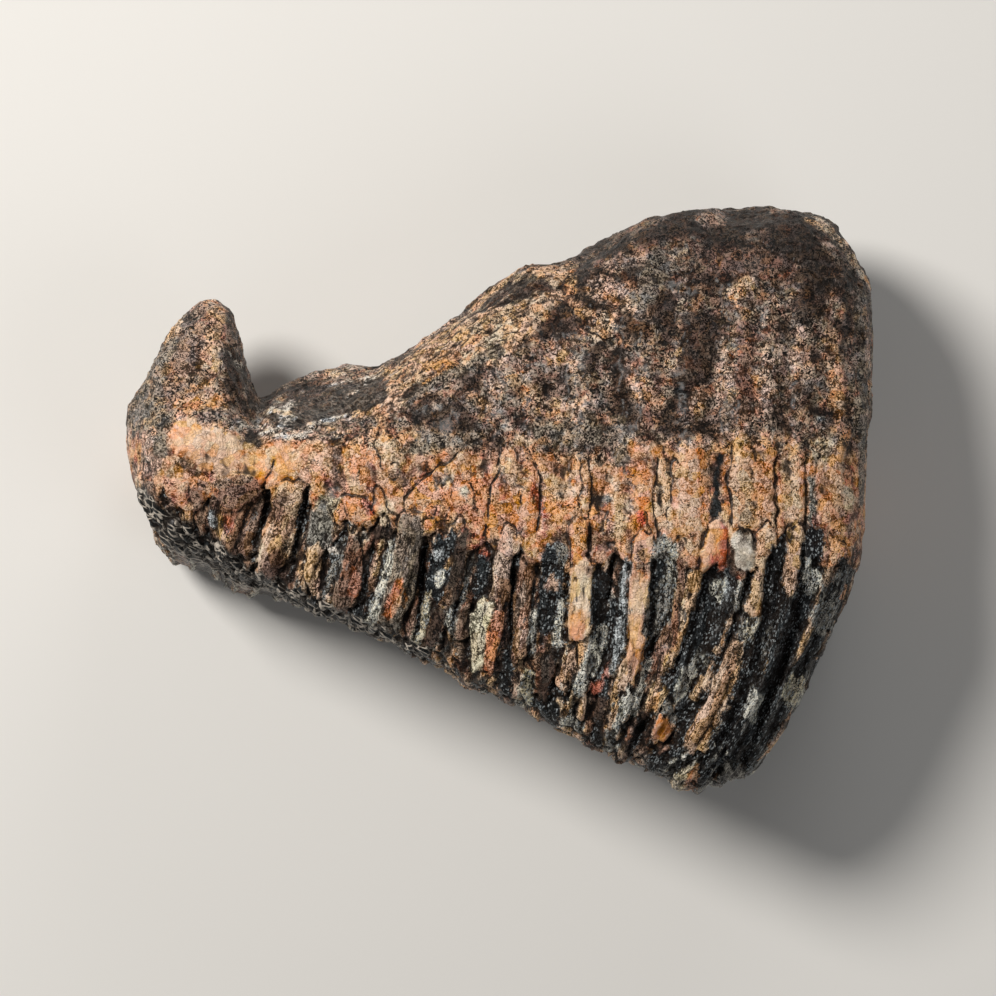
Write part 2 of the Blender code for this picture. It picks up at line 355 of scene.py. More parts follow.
ROOT_BED = Bed(
    (7.0, 8.0, 7.0), 110, 0.2, 0.0, 0.4,
    (
        (-9.0, Tint.ROOT_DARK, 0.0), (-0.3, Tint.ROOT_BROWN, 0.0), (-0.05, Tint.CLAY, 0.0),
        (0.12, Tint.ROOT_RED, 0.0), (0.34, Tint.ROOT_GREY, 0.0), (0.55, Tint.ROOT_PINK, 0.0),
        (0.78, Tint.BEIGE, 0.0),
    ),
)
SLOPE_BED = Layers(
    (5.0, 19.0, 9.0), 130, 1.4, 0.5, 0.32,
    (
        (-9.0, Tint.ROOT_DARK, 0.0), (-0.6, Tint.CLAY, 0.0), (-0.35, Tint.RIB_TAN, 0.0),
        (0.0, Tint.UMBER, 0.0), (0.25, Tint.BEIGE, 0.0), (0.5, Tint.RIB_TAN, 0.0),
        (0.75, Tint.OCHRE, 0.0),
    ),
)
COLLAR_BED = Bed(
    (5.0, 9.0, 8.0), 150, 0.5, 0.6, 0.3,
    (
        (-9.0, Tint.MAUVE_BROWN, 0.0), (-0.6, Tint.RED_BROWN, 0.0), (-0.42, Tint.TAN, 0.0),
        (-0.1, Tint.SALMON, 0.0), (0.1, Tint.TAN, 0.0), (0.35, Tint.BEIGE, 0.0),
        (0.55, Tint.PALE_BEIGE, 0.0),
    ),
)
CROWN_BED = Splinters(
    (3.3, 22.0, 6.5), 170, 1.2, 1.2, 0.38,
    (
        (-9.0, Tint.BLACK, 1.0), (-0.8, Tint.SLATE, 1.0), (-0.6, Tint.RIB_DARK, 0.3),
        (-0.4, Tint.RIB_BROWN, 0.0), (-0.15, Tint.MAUVE_BROWN, 0.0), (0.0, Tint.RIB_TAN, 0.0),
        (0.25, Tint.RIB_GOLD, 0.0), (0.38, Tint.GREY, 0.8), (0.55, Tint.CHALK, 1.0),
        (0.75, Tint.BEIGE, 0.0),
    ),
)
DARK_END_BED = Splinters(
    (3.5, 17.0, 6.5), 190, 1.0, 1.0, 0.38,
    (
        (-9.0, Tint.BLACK, 1.0), (-0.1, Tint.SLATE, 1.0), (0.18, Tint.GREY, 1.0),
        (0.4, Tint.CHALK, 1.0), (0.66, Tint.RIB_BROWN, 0.0), (0.8, Tint.RIB_TAN, 0.0),
    ),
    1.3, 0.75,
)


@dataclass(frozen=True)
class PlateCourses:
    """Where each plate of the crown runs, as the solid has it.

    u is a plate's place at the gum line, and rank counts the ridges between the
    plates, from the front to the back.
    """

    centre: tuple = (-1.152, 0.540, -0.278)
    bow: float = 2.5
    half_width: tuple = (
        (-110.0, 18.0), (-98.0, 33.0), (-66.0, 36.2), (8.0, 42.0), (64.8, 43.0), (109.0, 36.0),
    )
    mid_line: tuple = (
        (-110.0, 24.0), (-98.0, 36.5), (-66.0, 39.0), (8.0, 42.8), (64.8, 43.4), (109.0, 38.0),
    )
    bottom: tuple = (
        (-109.5, 14.5), (-104.3, -2.5), (-102.0, -11.0), (-93.7, -17.0), (-77.0, -23.2),
        (-58.0, -28.0), (-40.0, -35.8), (-18.6, -44.8), (8.0, -59.8), (32.7, -72.0),
        (64.8, -79.4), (79.2, -84.2), (109.0, -78.0),
    )
    gum: tuple = (
        (-110.0, 3.0), (-84.0, 2.0), (-66.0, 2.4), (-29.0, -6.5), (6.5, -15.0), (18.0, -17.0), (30.0, -18.0),
    )
    lean: tuple = (
        (-84.0, 0.0), (-72.0, 0.30), (-66.0, 0.37), (-29.0, 0.27), (6.5, 0.15), (18.0, 0.10), (30.0, 0.03),
        (42.0, 0.0),
    )
    bend: tuple = (
        (6.5, 0.0), (18.0, 0.0003), (30.0, 0.0017), (42.0, 0.0034), (54.0, 0.0048), (66.0, 0.0056),
    )
    ridges: tuple = (
        -101.0, -88.6, -73.0, -59.3, -48.0, -38.8, -23.8, -8.0, 4.2, 11.6, 26.2, 42.8, 57.0, 71.0, 78.8,
        88.8, 101.2, 108.5,
    )
    end_start: float = 74.0
    end_length: float = 35.0
    end_tuck: float = 9.0
    end_lean: float = 0.045
    collar_height: tuple = (
        (-104.0, 20.0), (-66.0, 18.0), (-29.0, 24.0), (6.0, 31.0), (40.0, 36.0), (104.0, 33.0),
    )
    rounds: int = 24

    def read(self, name: str, u: np.ndarray) -> np.ndarray:
        """Reads one of the tables of u and value at each u."""
        table = np.array(getattr(self, name))
        return np.interp(u, table[:, 0], table[:, 1])

    def shift(self, u: np.ndarray, y: np.ndarray) -> np.ndarray:
        """How far a plate has moved to the front at height y.

        Args:
            u: each plate's place at the gum line.
            y: heights.

        Returns:
            The shift towards the front.
        """
        below = np.maximum(0.0, self.read("gum", u) - y)
        along = self.read("lean", u) * below + self.read("bend", u) * below**2
        at_end = smooth_step((u - self.end_start) / self.end_length)
        tuck = self.end_tuck * smooth_step((-6.0 - y) / 50.0)
        back = self.end_lean * np.clip(62.0 - y, 0.0, 70.0)
        return along + (tuck + back) * at_end

    def solve(self, points: np.ndarray) -> dict[str, np.ndarray]:
        """Finds where points of the tooth lie among its plates.

        Args:
            points: places in millimetres.

        Returns:
            u, y, across (-1 to 1 through the tooth's thickness), drop (depth
            below the gum line) and rank.
        """
        x, y, z = (points + np.array(self.centre)).T
        u = x.copy()
        across = np.zeros_like(x)
        for _ in range(self.rounds):
            across = np.clip((z - self.read("mid_line", u)) / self.read("half_width", u), -1.0, 1.0)
            u = 0.5 * u + 0.5 * (x + self.shift(u, y) + self.bow * across**2)
        rank = np.interp(u, self.ridges, np.arange(len(self.ridges)))
        drop = self.read("gum", u) - y
        return {"u": u, "y": y, "across": across, "drop": drop, "rank": rank}


@dataclass(frozen=True)
class Picture:
    """The reference picture's frame, seen from straight above the tooth."""

    side: int = 996
    middle: float = 498.0
    mm_per_pixel: float = 0.2945
    camera_height: float = 1500.0
    level: float = 43.0
    sensor: float = 36.0

    def places(self, points: np.ndarray) -> np.ndarray:
        """Each point's pixel in the picture.

        Args:
            points: places in millimetres.

        Returns:
            Pixel places, across and down.
        """
        scale = (self.camera_height - self.level) / self.mm_per_pixel
        seen = points[:, :2] / (self.camera_height - points[:, 2:]) * scale
        return self.middle + seen * np.array([1.0, -1.0])

    def lens(self) -> float:
        """Focal length that frames the picture at the level of the tooth."""
        return self.sensor * (self.camera_height - self.level) / (self.side * self.mm_per_pixel)


@dataclass(frozen=True)
class Mark:
    """A stroke or a spot on the tooth, placed on the reference picture.

    path holds the stroke's bends as pixel across, pixel down and half width in
    pixels. height is how proud it stands, in millimetres.
    """

    tint: Tint
    height: float
    path: tuple
    surface: Surface = Surface.CEMENT
    outlined: bool = False

    def reach(self, places: np.ndarray) -> np.ndarray:
        """How far inside the mark each place lies.

        Args:
            places: pixel places.

        Returns:
            The distance inside its edge in pixels, negative outside.
        """
        best = np.full(len(places), -1e9)
        bends = [np.array(bend, float) for bend in self.path]
        for start, end in zip(bends, bends[1:] or bends):
            run = end[:2] - start[:2]
            length = max(float(run @ run), 1e-9)
            part = np.clip((places - start[:2]) @ run / length, 0.0, 1.0)
            away = np.linalg.norm(places - start[:2] - part[:, None] * run, axis=1)
            best = np.maximum(best, start[2] + part * (end[2] - start[2]) - away)
        return best


def stain(tint: Tint, *path: tuple) -> Mark:
    """A flat stain in the cement."""
    return Mark(tint, 0.0, path)


def rib(tint: Tint, height: float, *path: tuple) -> Mark:
    """A rib of cement that stands proud, with a dark seam round it."""
    return Mark(tint, height, path, outlined=True)


def plate(tint: Tint, height: float, *path: tuple) -> Mark:
    """A stretch of bare enamel."""
    return Mark(tint, height, path, surface=Surface.ENAMEL)


def shell(tint: Tint, height: float, *path: tuple) -> Mark:
    """A smooth, hard plate of cement, with a dark seam round it."""
    return Mark(tint, height, path, surface=Surface.SMOOTH, outlined=True)


def glaze(tint: Tint, *path: tuple) -> Mark:
    """A smooth stain."""
    return Mark(tint, 0.0, path, surface=Surface.SMOOTH)


HORN_AND_SADDLE = (
    stain(Tint.ROOT_GREY, (160, 350, 26), (142, 425, 20)),
    stain(Tint.ROOT_BROWN, (190, 350, 20), (180, 400, 18)),
    stain(Tint.RIB_DARK, (240, 350, 9), (247, 385, 9)),
    stain(Tint.ROOT_DARK, (228, 350, 8), (235, 392, 9)),
    stain(Tint.UMBER, (214, 322, 9), (206, 352, 8), (202, 378, 7)),
    stain(Tint.BEIGE, (210, 344, 4), (206, 364, 4)),
    stain(Tint.ROOT_PINK, (198, 314, 8), (216, 308, 9)),
    stain(Tint.PALE_BEIGE, (206, 306, 5), (214, 303, 5)),
    stain(Tint.TAN, (182, 404, 8), (212, 402, 8)),
    stain(Tint.SADDLE, (268, 410, 14), (325, 405, 20), (372, 392, 16)),
    stain(Tint.ROOT_DARK, (290, 385, 12), (320, 378, 8)),
    stain(Tint.PIT, (294, 393, 5)),
    stain(Tint.RIB_BROWN, (338, 366, 8), (356, 368, 9)),
    stain(Tint.RIB_BROWN, (292, 379, 7), (296, 392, 8)),
    stain(Tint.OLIVE_CLAY, (270, 398, 7), (284, 404, 8)),
    stain(Tint.FLECK, (300, 392, 1.4), (306, 398, 1.8), (308, 404, 1.2)),
    stain(Tint.FLECK, (272, 410, 1.2), (278, 417, 1.8), (294, 420, 1.6), (302, 410, 1.2)),
    stain(Tint.FLECK, (206, 427, 1.2), (240, 430, 1.4), (262, 429, 2.4), (284, 423, 1.4)),
    stain(Tint.FLECK, (278, 434, 1.6), (304, 436, 1.8), (312, 430, 1.4)),
    stain(Tint.FLECK, (306, 424, 1.2), (328, 420, 1.8), (344, 415, 1.2)),
    stain(Tint.FLECK, (316, 377, 1.2), (330, 386, 1.4), (352, 384, 1.4), (364, 378, 1.2)),
    stain(Tint.FLECK, (356, 390, 1.4), (372, 380, 1.2), (388, 374, 1.2)),
    stain(Tint.TAN, (204, 304, 5), (218, 308, 6)),
    stain(Tint.BEIGE, (169, 338, 6), (176, 328, 4)),
    stain(Tint.OCHRE, (200, 344, 4), (202, 354, 4)),
    stain(Tint.PALE_BEIGE, (208, 362, 4), (212, 368, 4)),
    stain(Tint.RED_BROWN, (221, 330, 3), (214, 342, 3)),
    stain(Tint.TAN, (178, 409, 7), (198, 402, 6)),
    stain(Tint.FLECK, (227, 352, 1.2), (231, 362, 1.6), (241, 363, 1.4)),
)

ROOTS = (
    stain(Tint.PALE_BEIGE, (440, 352, 4), (470, 330, 6)),
    stain(Tint.CREAM, (492, 344, 6), (512, 326, 6)),
    stain(Tint.PALE_BEIGE, (468, 358, 6), (480, 350, 6)),
    stain(Tint.OCHRE, (428, 384, 7), (446, 364, 7)),
    stain(Tint.ROOT_GREY, (410, 398, 5), (455, 372, 5), (500, 352, 5)),
    stain(Tint.ROOT_DARK, (543, 287, 5), (558, 292, 4)),
    stain(Tint.OCHRE, (571, 264, 5), (572, 290, 5)),
    stain(Tint.ROOT_DARK, (584, 278, 5), (590, 300, 6)),
    stain(Tint.ROOT_PINK, (600, 288, 12), (632, 300, 14)),
    stain(Tint.BEIGE, (606, 320, 7), (596, 336, 6)),
    stain(Tint.ROOT_DARK, (640, 236, 9), (700, 216, 11), (790, 222, 12), (822, 262, 10)),
    stain(Tint.ROOT_RED, (720, 262, 14), (780, 268, 16)),
    stain(Tint.ROOT_PINK, (704, 222, 6), (720, 226, 7)),
    stain(Tint.BEIGE, (732, 294, 7), (746, 286, 8)),
    stain(Tint.MAUVE_BROWN, (698, 290, 6), (696, 304, 5)),
    stain(Tint.ROOT_PINK, (612, 264, 10), (640, 257, 9)),
    stain(Tint.UMBER, (572, 304, 5), (590, 316, 6), (604, 334, 6)),
    stain(Tint.ROOT_GREY, (660, 268, 14), (640, 300, 10)),
    stain(Tint.ROOT_DARK, (700, 330, 20), (690, 400, 16)),
    stain(Tint.ROOT_RED, (745, 330, 9), (742, 420, 9)),
    stain(Tint.ROOT_PINK, (765, 350, 4), (762, 410, 5)),
    stain(Tint.ROOT_PINK, (722, 350, 3.5), (718, 405, 4)),
    stain(Tint.ROOT_RED, (655, 380, 8), (650, 420, 8)),
    stain(Tint.ROOT_PINK, (628, 372, 6), (640, 390, 6)),
    stain(Tint.UMBER, (828, 335, 7), (836, 380, 8), (844, 440, 6)),
    stain(Tint.UMBER, (646, 386, 9), (656, 402, 9)),
    stain(Tint.UMBER, (700, 392, 9), (696, 406, 8)),
    stain(Tint.BEIGE, (620, 422, 6)),
    stain(Tint.SLATE, (678, 390, 5)),
    stain(Tint.ROOT_PINK, (800, 330, 6), (806, 380, 6)),
    stain(Tint.PIT, (812, 409, 6), (822, 411, 7)),
    stain(Tint.CHALK_BLUE, (819, 416, 2), (824, 418, 2)),
    stain(Tint.PALE_BEIGE, (804, 216, 4), (836, 238, 5)),
    stain(Tint.PALE_BEIGE, (846, 252, 4), (864, 280, 5)),
    stain(Tint.CLAY, (402, 452, 7), (430, 442, 10), (470, 440, 10)),
    stain(Tint.CLAY, (545, 432, 12), (592, 436, 12)),
    stain(Tint.UMBER, (512, 378, 6), (530, 392, 6), (548, 412, 7)),
    stain(Tint.UMBER, (470, 398, 5), (488, 406, 5)),
    stain(Tint.ROOT_DARK, (588, 362, 8), (600, 348, 6)),
    stain(Tint.ROOT_PINK, (560, 340, 7), (552, 356, 6)),
    stain(Tint.CLAY, (618, 424, 9), (621, 458, 9)),
    stain(Tint.ROOT_GREY, (862, 300, 5), (864, 400, 5), (862, 500, 5)),
)

COLLAR = (
    stain(Tint.ROOT_PINK, (146, 440, 12), (150, 466, 12)),
    stain(Tint.ROOT_GREY, (158, 428, 5), (161, 452, 6)),
    stain(Tint.TAN, (184, 474, 10), (210, 486, 9)),
    glaze(Tint.PINK_CREAM, (184, 436, 17), (206, 446, 21), (226, 452, 17), (224, 468, 10)),
    glaze(Tint.PALE_BEIGE, (216, 440, 9), (238, 444, 8)),
    glaze(Tint.PINK_CREAM, (224, 470, 6)),
    stain(Tint.MAUVE_BROWN, (180, 464, 5), (194, 472, 6)),
    stain(Tint.RED_BROWN, (204, 470, 4), (212, 478, 5)),
    stain(Tint.SADDLE, (244, 440, 4), (262, 442, 4)),
    glaze(Tint.APRICOT, (256, 462, 12), (254, 476, 13), (238, 483, 7)),
    glaze(Tint.ORANGE, (240, 484, 5), (262, 482, 5)),
    glaze(Tint.APRICOT, (286, 454, 12), (284, 476, 12)),
    glaze(Tint.ORANGE, (280, 482, 5), (292, 480, 5)),
    stain(Tint.PINK_CREAM, (302, 474, 4), (304, 484, 4)),
    stain(Tint.TAN, (312, 450, 11), (316, 478, 11)),
    stain(Tint.APRICOT, (349, 454, 6), (354, 474, 7)),
    stain(Tint.MAUVE_BROWN, (337, 452, 6), (342, 486, 7)),
    stain(Tint.TAN, (356, 446, 8), (360, 478, 8)),
    stain(Tint.PALE_BEIGE, (380, 440, 10), (392, 462, 9)),
    stain(Tint.RED_BROWN, (322, 478, 4), (330, 486, 4)),
    stain(Tint.OLIVE_CLAY, (322, 508, 9), (336, 504, 8)),
    rib(Tint.ORANGE, 1.0, (346, 512, 12), (362, 518, 13)),
    stain(Tint.RUST, (368, 508, 7)),
    stain(Tint.CREAM, (386, 512, 7), (384, 524, 5)),
    stain(Tint.FLECK, (352, 541, 2), (366, 536, 2)),
    stain(Tint.RIB_BROWN, (146, 478, 7), (156, 506, 6)),
    stain(Tint.SALMON, (412, 500, 12), (440, 505, 22), (478, 505, 20), (500, 520, 14)),
    stain(Tint.ORANGE, (418, 486, 8), (470, 480, 10)),
    stain(Tint.CREAM, (446, 482, 6), (452, 476, 6)),
    stain(Tint.CHALK, (464, 494, 6), (462, 502, 4)),
    stain(Tint.PINK_CREAM, (450, 526, 5), (466, 528, 5)),
    stain(Tint.DEEP_ORANGE, (480, 518, 6), (440, 512, 5)),
    stain(Tint.PALE_BEIGE, (506, 460, 8), (516, 480, 7)),
    stain(Tint.TAN, (545, 462, 12), (575, 470, 12), (600, 480, 9)),
    stain(Tint.SALMON, (515, 505, 10), (538, 512, 12), (572, 515, 14), (600, 520, 9)),
    stain(Tint.PINK_CREAM, (524, 492, 5), (584, 492, 5)),
    stain(Tint.GREY, (560, 495, 4)),
    stain(Tint.GREY, (606, 496, 5)),
    stain(Tint.RUST, (533, 486, 4), (548, 530, 4)),
    stain(Tint.PALE_BEIGE, (622, 500, 7), (618, 530, 7)),
    stain(Tint.ORANGE, (640, 470, 9), (643, 545, 10)),
    stain(Tint.RUST, (640, 515, 4), (642, 528, 4)),
    stain(Tint.PALE_BEIGE, (663, 465, 8), (664, 526, 9)),
    stain(Tint.PINK_CREAM, (688, 450, 9), (688, 524, 10)),
    stain(Tint.SLATE, (717, 458, 4), (716, 515, 5)),
    stain(Tint.BEIGE, (738, 445, 11), (742, 516, 11)),
    stain(Tint.TAN, (765, 445, 11), (765, 524, 10)),
    stain(Tint.PALE_BEIGE, (790, 450, 9), (792, 522, 9)),
    stain(Tint.GREY, (812, 480, 4), (812, 520, 5)),
    stain(Tint.TAN, (834, 465, 9), (836, 540, 7)),
    stain(Tint.CREAM, (820, 446, 8), (822, 462, 7)),
    stain(Tint.CREAM, (848, 490, 6), (847, 500, 5)),
    stain(Tint.ORANGE, (700, 440, 4), (704, 500, 4)),
)

CROWN = (
    rib(Tint.RIB_BROWN, 0.5, (196, 492, 7.5), (206, 530, 6)),
    rib(Tint.RIB_BROWN, 0.9, (238, 500, 26), (236, 530, 24), (236, 545, 15)),
    stain(Tint.RIB_GOLD, (216, 520, 4), (222, 540, 4)),
    stain(Tint.MAUVE_BROWN, (246, 505, 6), (240, 530, 5)),
    stain(Tint.RED_BROWN, (228, 520, 5), (229, 530, 5)),
    # Painted highlight: a small bluish-white glint on the rib's edge
    stain(Tint.CHALK_BLUE, (214, 514, 2.5), (215, 528, 4)),
    rib(Tint.RIB_TAN, 0.9, (291, 500, 19), (281, 530, 17.5), (272, 560, 15), (268, 572, 12.5)),
    stain(Tint.MAUVE_BROWN, (284, 496, 7.5), (276, 512, 7.5)),
    stain(Tint.RIB_BROWN, (276, 556, 10), (272, 570, 10)),
    stain(Tint.RIB_GOLD, (280, 540, 5), (286, 534, 4)),
    stain(Tint.CREAM, (262, 545, 3), (258, 556, 3)),
    rib(Tint.GREY, 0.7, (322, 520, 12.5), (318, 545, 11)),
    rib(Tint.RIB_TAN, 0.8, (315, 552, 7.5), (312, 578, 7.5)),
    stain(Tint.RIB_BROWN, (325, 566, 5), (320, 584, 5)),
    stain(Tint.FLECK, (326, 551, 3), (333, 550, 3)),
    plate(Tint.GREY, -0.2, (346, 545, 6), (334, 575, 6), (326, 592, 6)),
    rib(Tint.RIB_BROWN, 0.8, (354, 545, 7.5), (352, 570, 11), (344, 598, 11)),
    stain(Tint.DEEP_ORANGE, (357, 570, 5), (352, 590, 5)),
    rib(Tint.RIB_GOLD, 0.4, (381, 548, 3), (376, 572, 3)),
    plate(Tint.CHALK, 0.1, (391, 548, 4.5), (387, 580, 6), (378, 606, 7.5), (372, 618, 7.5)),
    rib(
        Tint.ROOT_GREY, 1.2, (409, 530, 12.5), (410, 545, 16), (406, 572, 12.5), (398, 600, 12.5),
        (390, 618, 11),
    ),
    stain(Tint.DEEP_ORANGE, (400, 592, 6), (392, 614, 6)),
    stain(Tint.ORANGE, (397, 600, 3), (402, 606, 3)),
    stain(Tint.DEEP_ORANGE, (427, 562, 2.5), (425, 572, 2.5)),
    plate(Tint.SLATE, 0.5, (447, 545, 14), (445, 560, 14), (434, 590, 10)),
    # Painted highlights: small bluish-white glints on the dark plate's head
    plate(Tint.CHALK_BLUE, 0.5, (441, 548, 2.5), (439, 556, 2.5)),
    plate(Tint.CHALK, 0.5, (441, 572, 4), (440, 578, 4)),
    stain(Tint.RIB_GOLD, (449, 560, 5), (455, 562, 4)),
    rib(Tint.RIB_DARK, 0.9, (464, 540, 6), (459, 570, 7.5), (452, 594, 9)),
    stain(Tint.RIB_BROWN, (449, 590, 5), (447, 600, 5)),
    plate(Tint.GREEN_CREAM, 0.3, (427, 602, 5), (422, 620, 6), (416, 640, 6)),
    rib(Tint.RIB_BROWN, 0.8, (466, 606, 6), (461, 632, 7.5)),
    rib(Tint.RIB_DARK, 0.6, (440, 612, 7.5), (432, 642, 7.5)),
    plate(Tint.SLATE, -0.3, (484, 556, 7.5), (482, 590, 7.5)),
    stain(Tint.RED_BROWN, (482, 546, 7.5), (476, 544, 5)),
    stain(Tint.FLECK, (490, 568, 1.5), (494, 571, 1.5)),
    rib(Tint.ROOT_PINK, 0.9, (507, 536, 9), (504, 560, 10), (501, 595, 10)),
    stain(Tint.RIB_BROWN, (502, 585, 9), (499, 610, 7.5)),
    rib(Tint.GREEN_CREAM, 1.0, (488, 600, 6), (482, 620, 12.5), (478, 645, 10), (474, 672, 5)),
    rib(Tint.DEEP_ORANGE, 0.8, (498, 610, 6), (493, 640, 7.5), (488, 668, 6)),
    rib(Tint.MAUVE_BROWN, 1.0, (530, 560, 7.5), (523, 600, 9), (519, 650, 9)),
    stain(Tint.ROOT_PINK, (525, 580, 4), (520, 640, 4)),
    plate(Tint.SLATE, 0.2, (556, 552, 11), (550, 590, 11), (545, 620, 10)),
    plate(Tint.GREY, 0.4, (560, 548, 6), (561, 560, 6)),
    stain(Tint.ROOT_PINK, (550, 576, 5), (552, 584, 4)),
    plate(Tint.CHALK, 0.2, (559, 606, 4), (557, 645, 4.5)),
    plate(Tint.CHALK, 0.2, (534, 610, 4), (532, 635, 4)),
    rib(Tint.RIB_BROWN, 0.7, (543, 648, 5), (536, 690, 5)),
    plate(Tint.GREEN_CREAM, 0.2, (530, 668, 4.5), (524, 700, 4.5)),
    rib(Tint.RIB_DARK, 0.5, (549, 665, 7.5), (541, 698, 6)),
    rib(Tint.SALMON, 1.0, (578, 530, 9), (579, 556, 7.5)),
    shell(Tint.PALE_BEIGE, 1.6, (583, 572, 12), (584, 592, 16), (580, 615, 15), (578, 632, 11)),
    glaze(Tint.CREAM, (586, 584, 8), (581, 606, 8)),
    glaze(Tint.APRICOT, (579, 622, 11)),
    glaze(Tint.ORANGE, (578, 631, 9), (578, 636, 7)),
    rib(Tint.RIB_GOLD, 0.5, (569, 654, 6), (564, 670, 6)),
    plate(Tint.SLATE, -0.2, (603, 575, 10), (600, 620, 10)),
    stain(Tint.ROOT_PINK, (614, 578, 4), (612, 592, 4)),
    stain(Tint.FLECK, (610, 596, 2.5), (606, 603, 2)),
    plate(Tint.CHALK, 0.4, (600, 638, 7.5), (592, 665, 7.5), (580, 692, 7.5)),
    rib(Tint.RED_BROWN, 0.6, (608, 676, 4), (594, 692, 5)),
    plate(Tint.CHALK_BLUE, 0.1, (628, 562, 5), (624, 600, 5), (622, 630, 5)),
    plate(Tint.CHALK, 0.3, (618, 648, 5), (614, 670, 5)),
    shell(Tint.TAN, 1.3, (643, 545, 10), (642, 585, 12), (640, 630, 12), (634, 662, 10), (620, 690, 8)),
    stain(Tint.MAUVE_BROWN, (642, 558, 8), (643, 566, 7)),
    glaze(Tint.PALE_BEIGE, (641, 582, 8), (640, 604, 8)),
    glaze(Tint.APRICOT, (640, 622, 8), (636, 640, 8)),
    stain(Tint.RIB_TAN, (627, 676, 7.5), (619, 692, 7.5)),
    plate(Tint.GREY, 0.1, (663, 548, 11), (662, 590, 12.5), (655, 630, 12.5)),
    plate(Tint.CHALK, 0.2, (670, 545, 5), (674, 562, 5), (676, 580, 4)),
    plate(Tint.SLATE, 0.0, (660, 572, 6), (654, 590, 5)),
    rib(Tint.RIB_BROWN, 0.9, (682, 545, 5), (682, 590, 6), (676, 625, 7.5), (660, 658, 7.5), (646, 690, 7.5)),
    stain(Tint.CREAM, (687, 598, 2), (684, 618, 2.5)),
    rib(Tint.RIB_GOLD, 1.0, (697, 575, 7.5), (693, 612, 9), (682, 650, 9), (664, 684, 9), (652, 706, 7.5)),
    plate(Tint.CHALK, 0.3, (648, 664, 4.5), (634, 694, 6), (618, 722, 6)),
    shell(Tint.APRICOT, 1.3, (714, 532, 10), (712, 552, 11.5), (707, 566, 7)),
    glaze(Tint.PINK_CREAM, (707, 540, 6), (706, 556, 6)),
    glaze(Tint.RUST, (723, 526, 4), (722, 550, 6), (712, 569, 6)),
    plate(Tint.SLATE, -0.3, (722, 582, 14), (712, 615, 15), (696, 648, 14), (676, 682, 11)),
    plate(Tint.CHALK_BLUE, -0.1, (728, 590, 5), (722, 602, 5)),
    plate(Tint.CHALK, 0.0, (702, 662, 6), (688, 684, 7.5)),
    shell(Tint.STONE, 1.1, (742, 543, 13), (743, 558, 11)),
    stain(Tint.SADDLE, (744, 532, 7)),
    rib(Tint.RIB_TAN, 0.9, (732, 625, 5), (722, 655, 6), (706, 684, 6), (696, 700, 5)),
    rib(Tint.RIB_TAN, 1.2, (738, 645, 6), (733, 668, 11), (714, 708, 11), (696, 745, 11)),
    rib(Tint.BEIGE, 1.1, (766, 535, 10), (762, 575, 11), (753, 606, 9)),
    plate(Tint.GREEN_CREAM, 0.2, (754, 618, 7.5), (750, 642, 6)),
    plate(Tint.BLACK, -0.3, (780, 548, 9), (776, 580, 9), (768, 620, 6)),
    plate(Tint.BLACK, -0.2, (752, 655, 9), (738, 710, 10), (728, 745, 10)),
    rib(Tint.RIB_TAN, 1.1, (797, 540, 9), (792, 575, 9), (788, 587, 6)),
    rib(Tint.RIB_GOLD, 0.5, (777, 634, 4), (766, 662, 4)),
    plate(Tint.BLACK, -0.2, (816, 540, 10), (812, 562, 10)),
    plate(Tint.CHALK, 0.2, (810, 580, 7.5), (804, 588, 6)),
    plate(Tint.SLATE, -0.1, (794, 608, 15), (780, 660, 15), (764, 710, 12.5), (750, 750, 11)),
    rib(Tint.TAN, 0.8, (836, 545, 7.5), (832, 560, 5)),
    stain(Tint.SALMON, (844, 536, 4), (842, 548, 4)),
    plate(Tint.GREY, 0.1, (828, 590, 10), (822, 625, 10)),
    stain(Tint.TAN, (844, 592, 5)),
    plate(Tint.CHALK, 0.3, (758, 698, 7.5), (752, 712, 6)),
    plate(Tint.CHALK, 0.2, (796, 692, 9), (790, 704, 7.5)),
    stain(Tint.RIB_GOLD, (733, 618, 3)),
    stain(Tint.GREEN_CREAM, (747, 678, 4)),
    rib(Tint.RIB_TAN, 0.6, (672, 712, 6), (656, 738, 7.5)),
    stain(Tint.ORANGE, (661, 729, 7.5), (656, 738, 5)),
    rib(Tint.OLIVE_CLAY, 0.6, (687, 776, 11), (680, 782, 10)),
    stain(Tint.ORANGE, (694, 776, 5), (688, 786, 5)),
    rib(Tint.GREY, 0.6, (732, 772, 11)),
    stain(Tint.RIB_GOLD, (564, 706, 5), (570, 700, 4)),
    shell(Tint.ORANGE, 0.6, (661, 724, 8), (657, 738, 6)),
    plate(Tint.CHALK, 0.4, (640, 690, 6), (628, 708, 7), (616, 726, 5)),
    plate(Tint.CHALK, 0.5, (811, 576, 10), (806, 588, 8)),
    plate(Tint.GREY, 0.3, (823, 608, 11), (819, 624, 9)),
    plate(Tint.GREEN_CREAM, 0.5, (797, 686, 8), (790, 702, 7)),
    plate(Tint.CHALK, 0.4, (758, 694, 8), (750, 716, 7)),
    plate(Tint.CHALK, 0.3, (690, 678, 9), (682, 692, 8)),
    plate(Tint.CHALK, 0.3, (714, 596, 6), (722, 580, 5)),
    plate(Tint.GREY, 0.4, (668, 706, 7), (672, 712, 6)),
    plate(Tint.CHALK, 0.4, (602, 632, 7), (598, 656, 7)),
    plate(Tint.CHALK_BLUE, 0.3, (618, 636, 5), (614, 668, 4)),
)

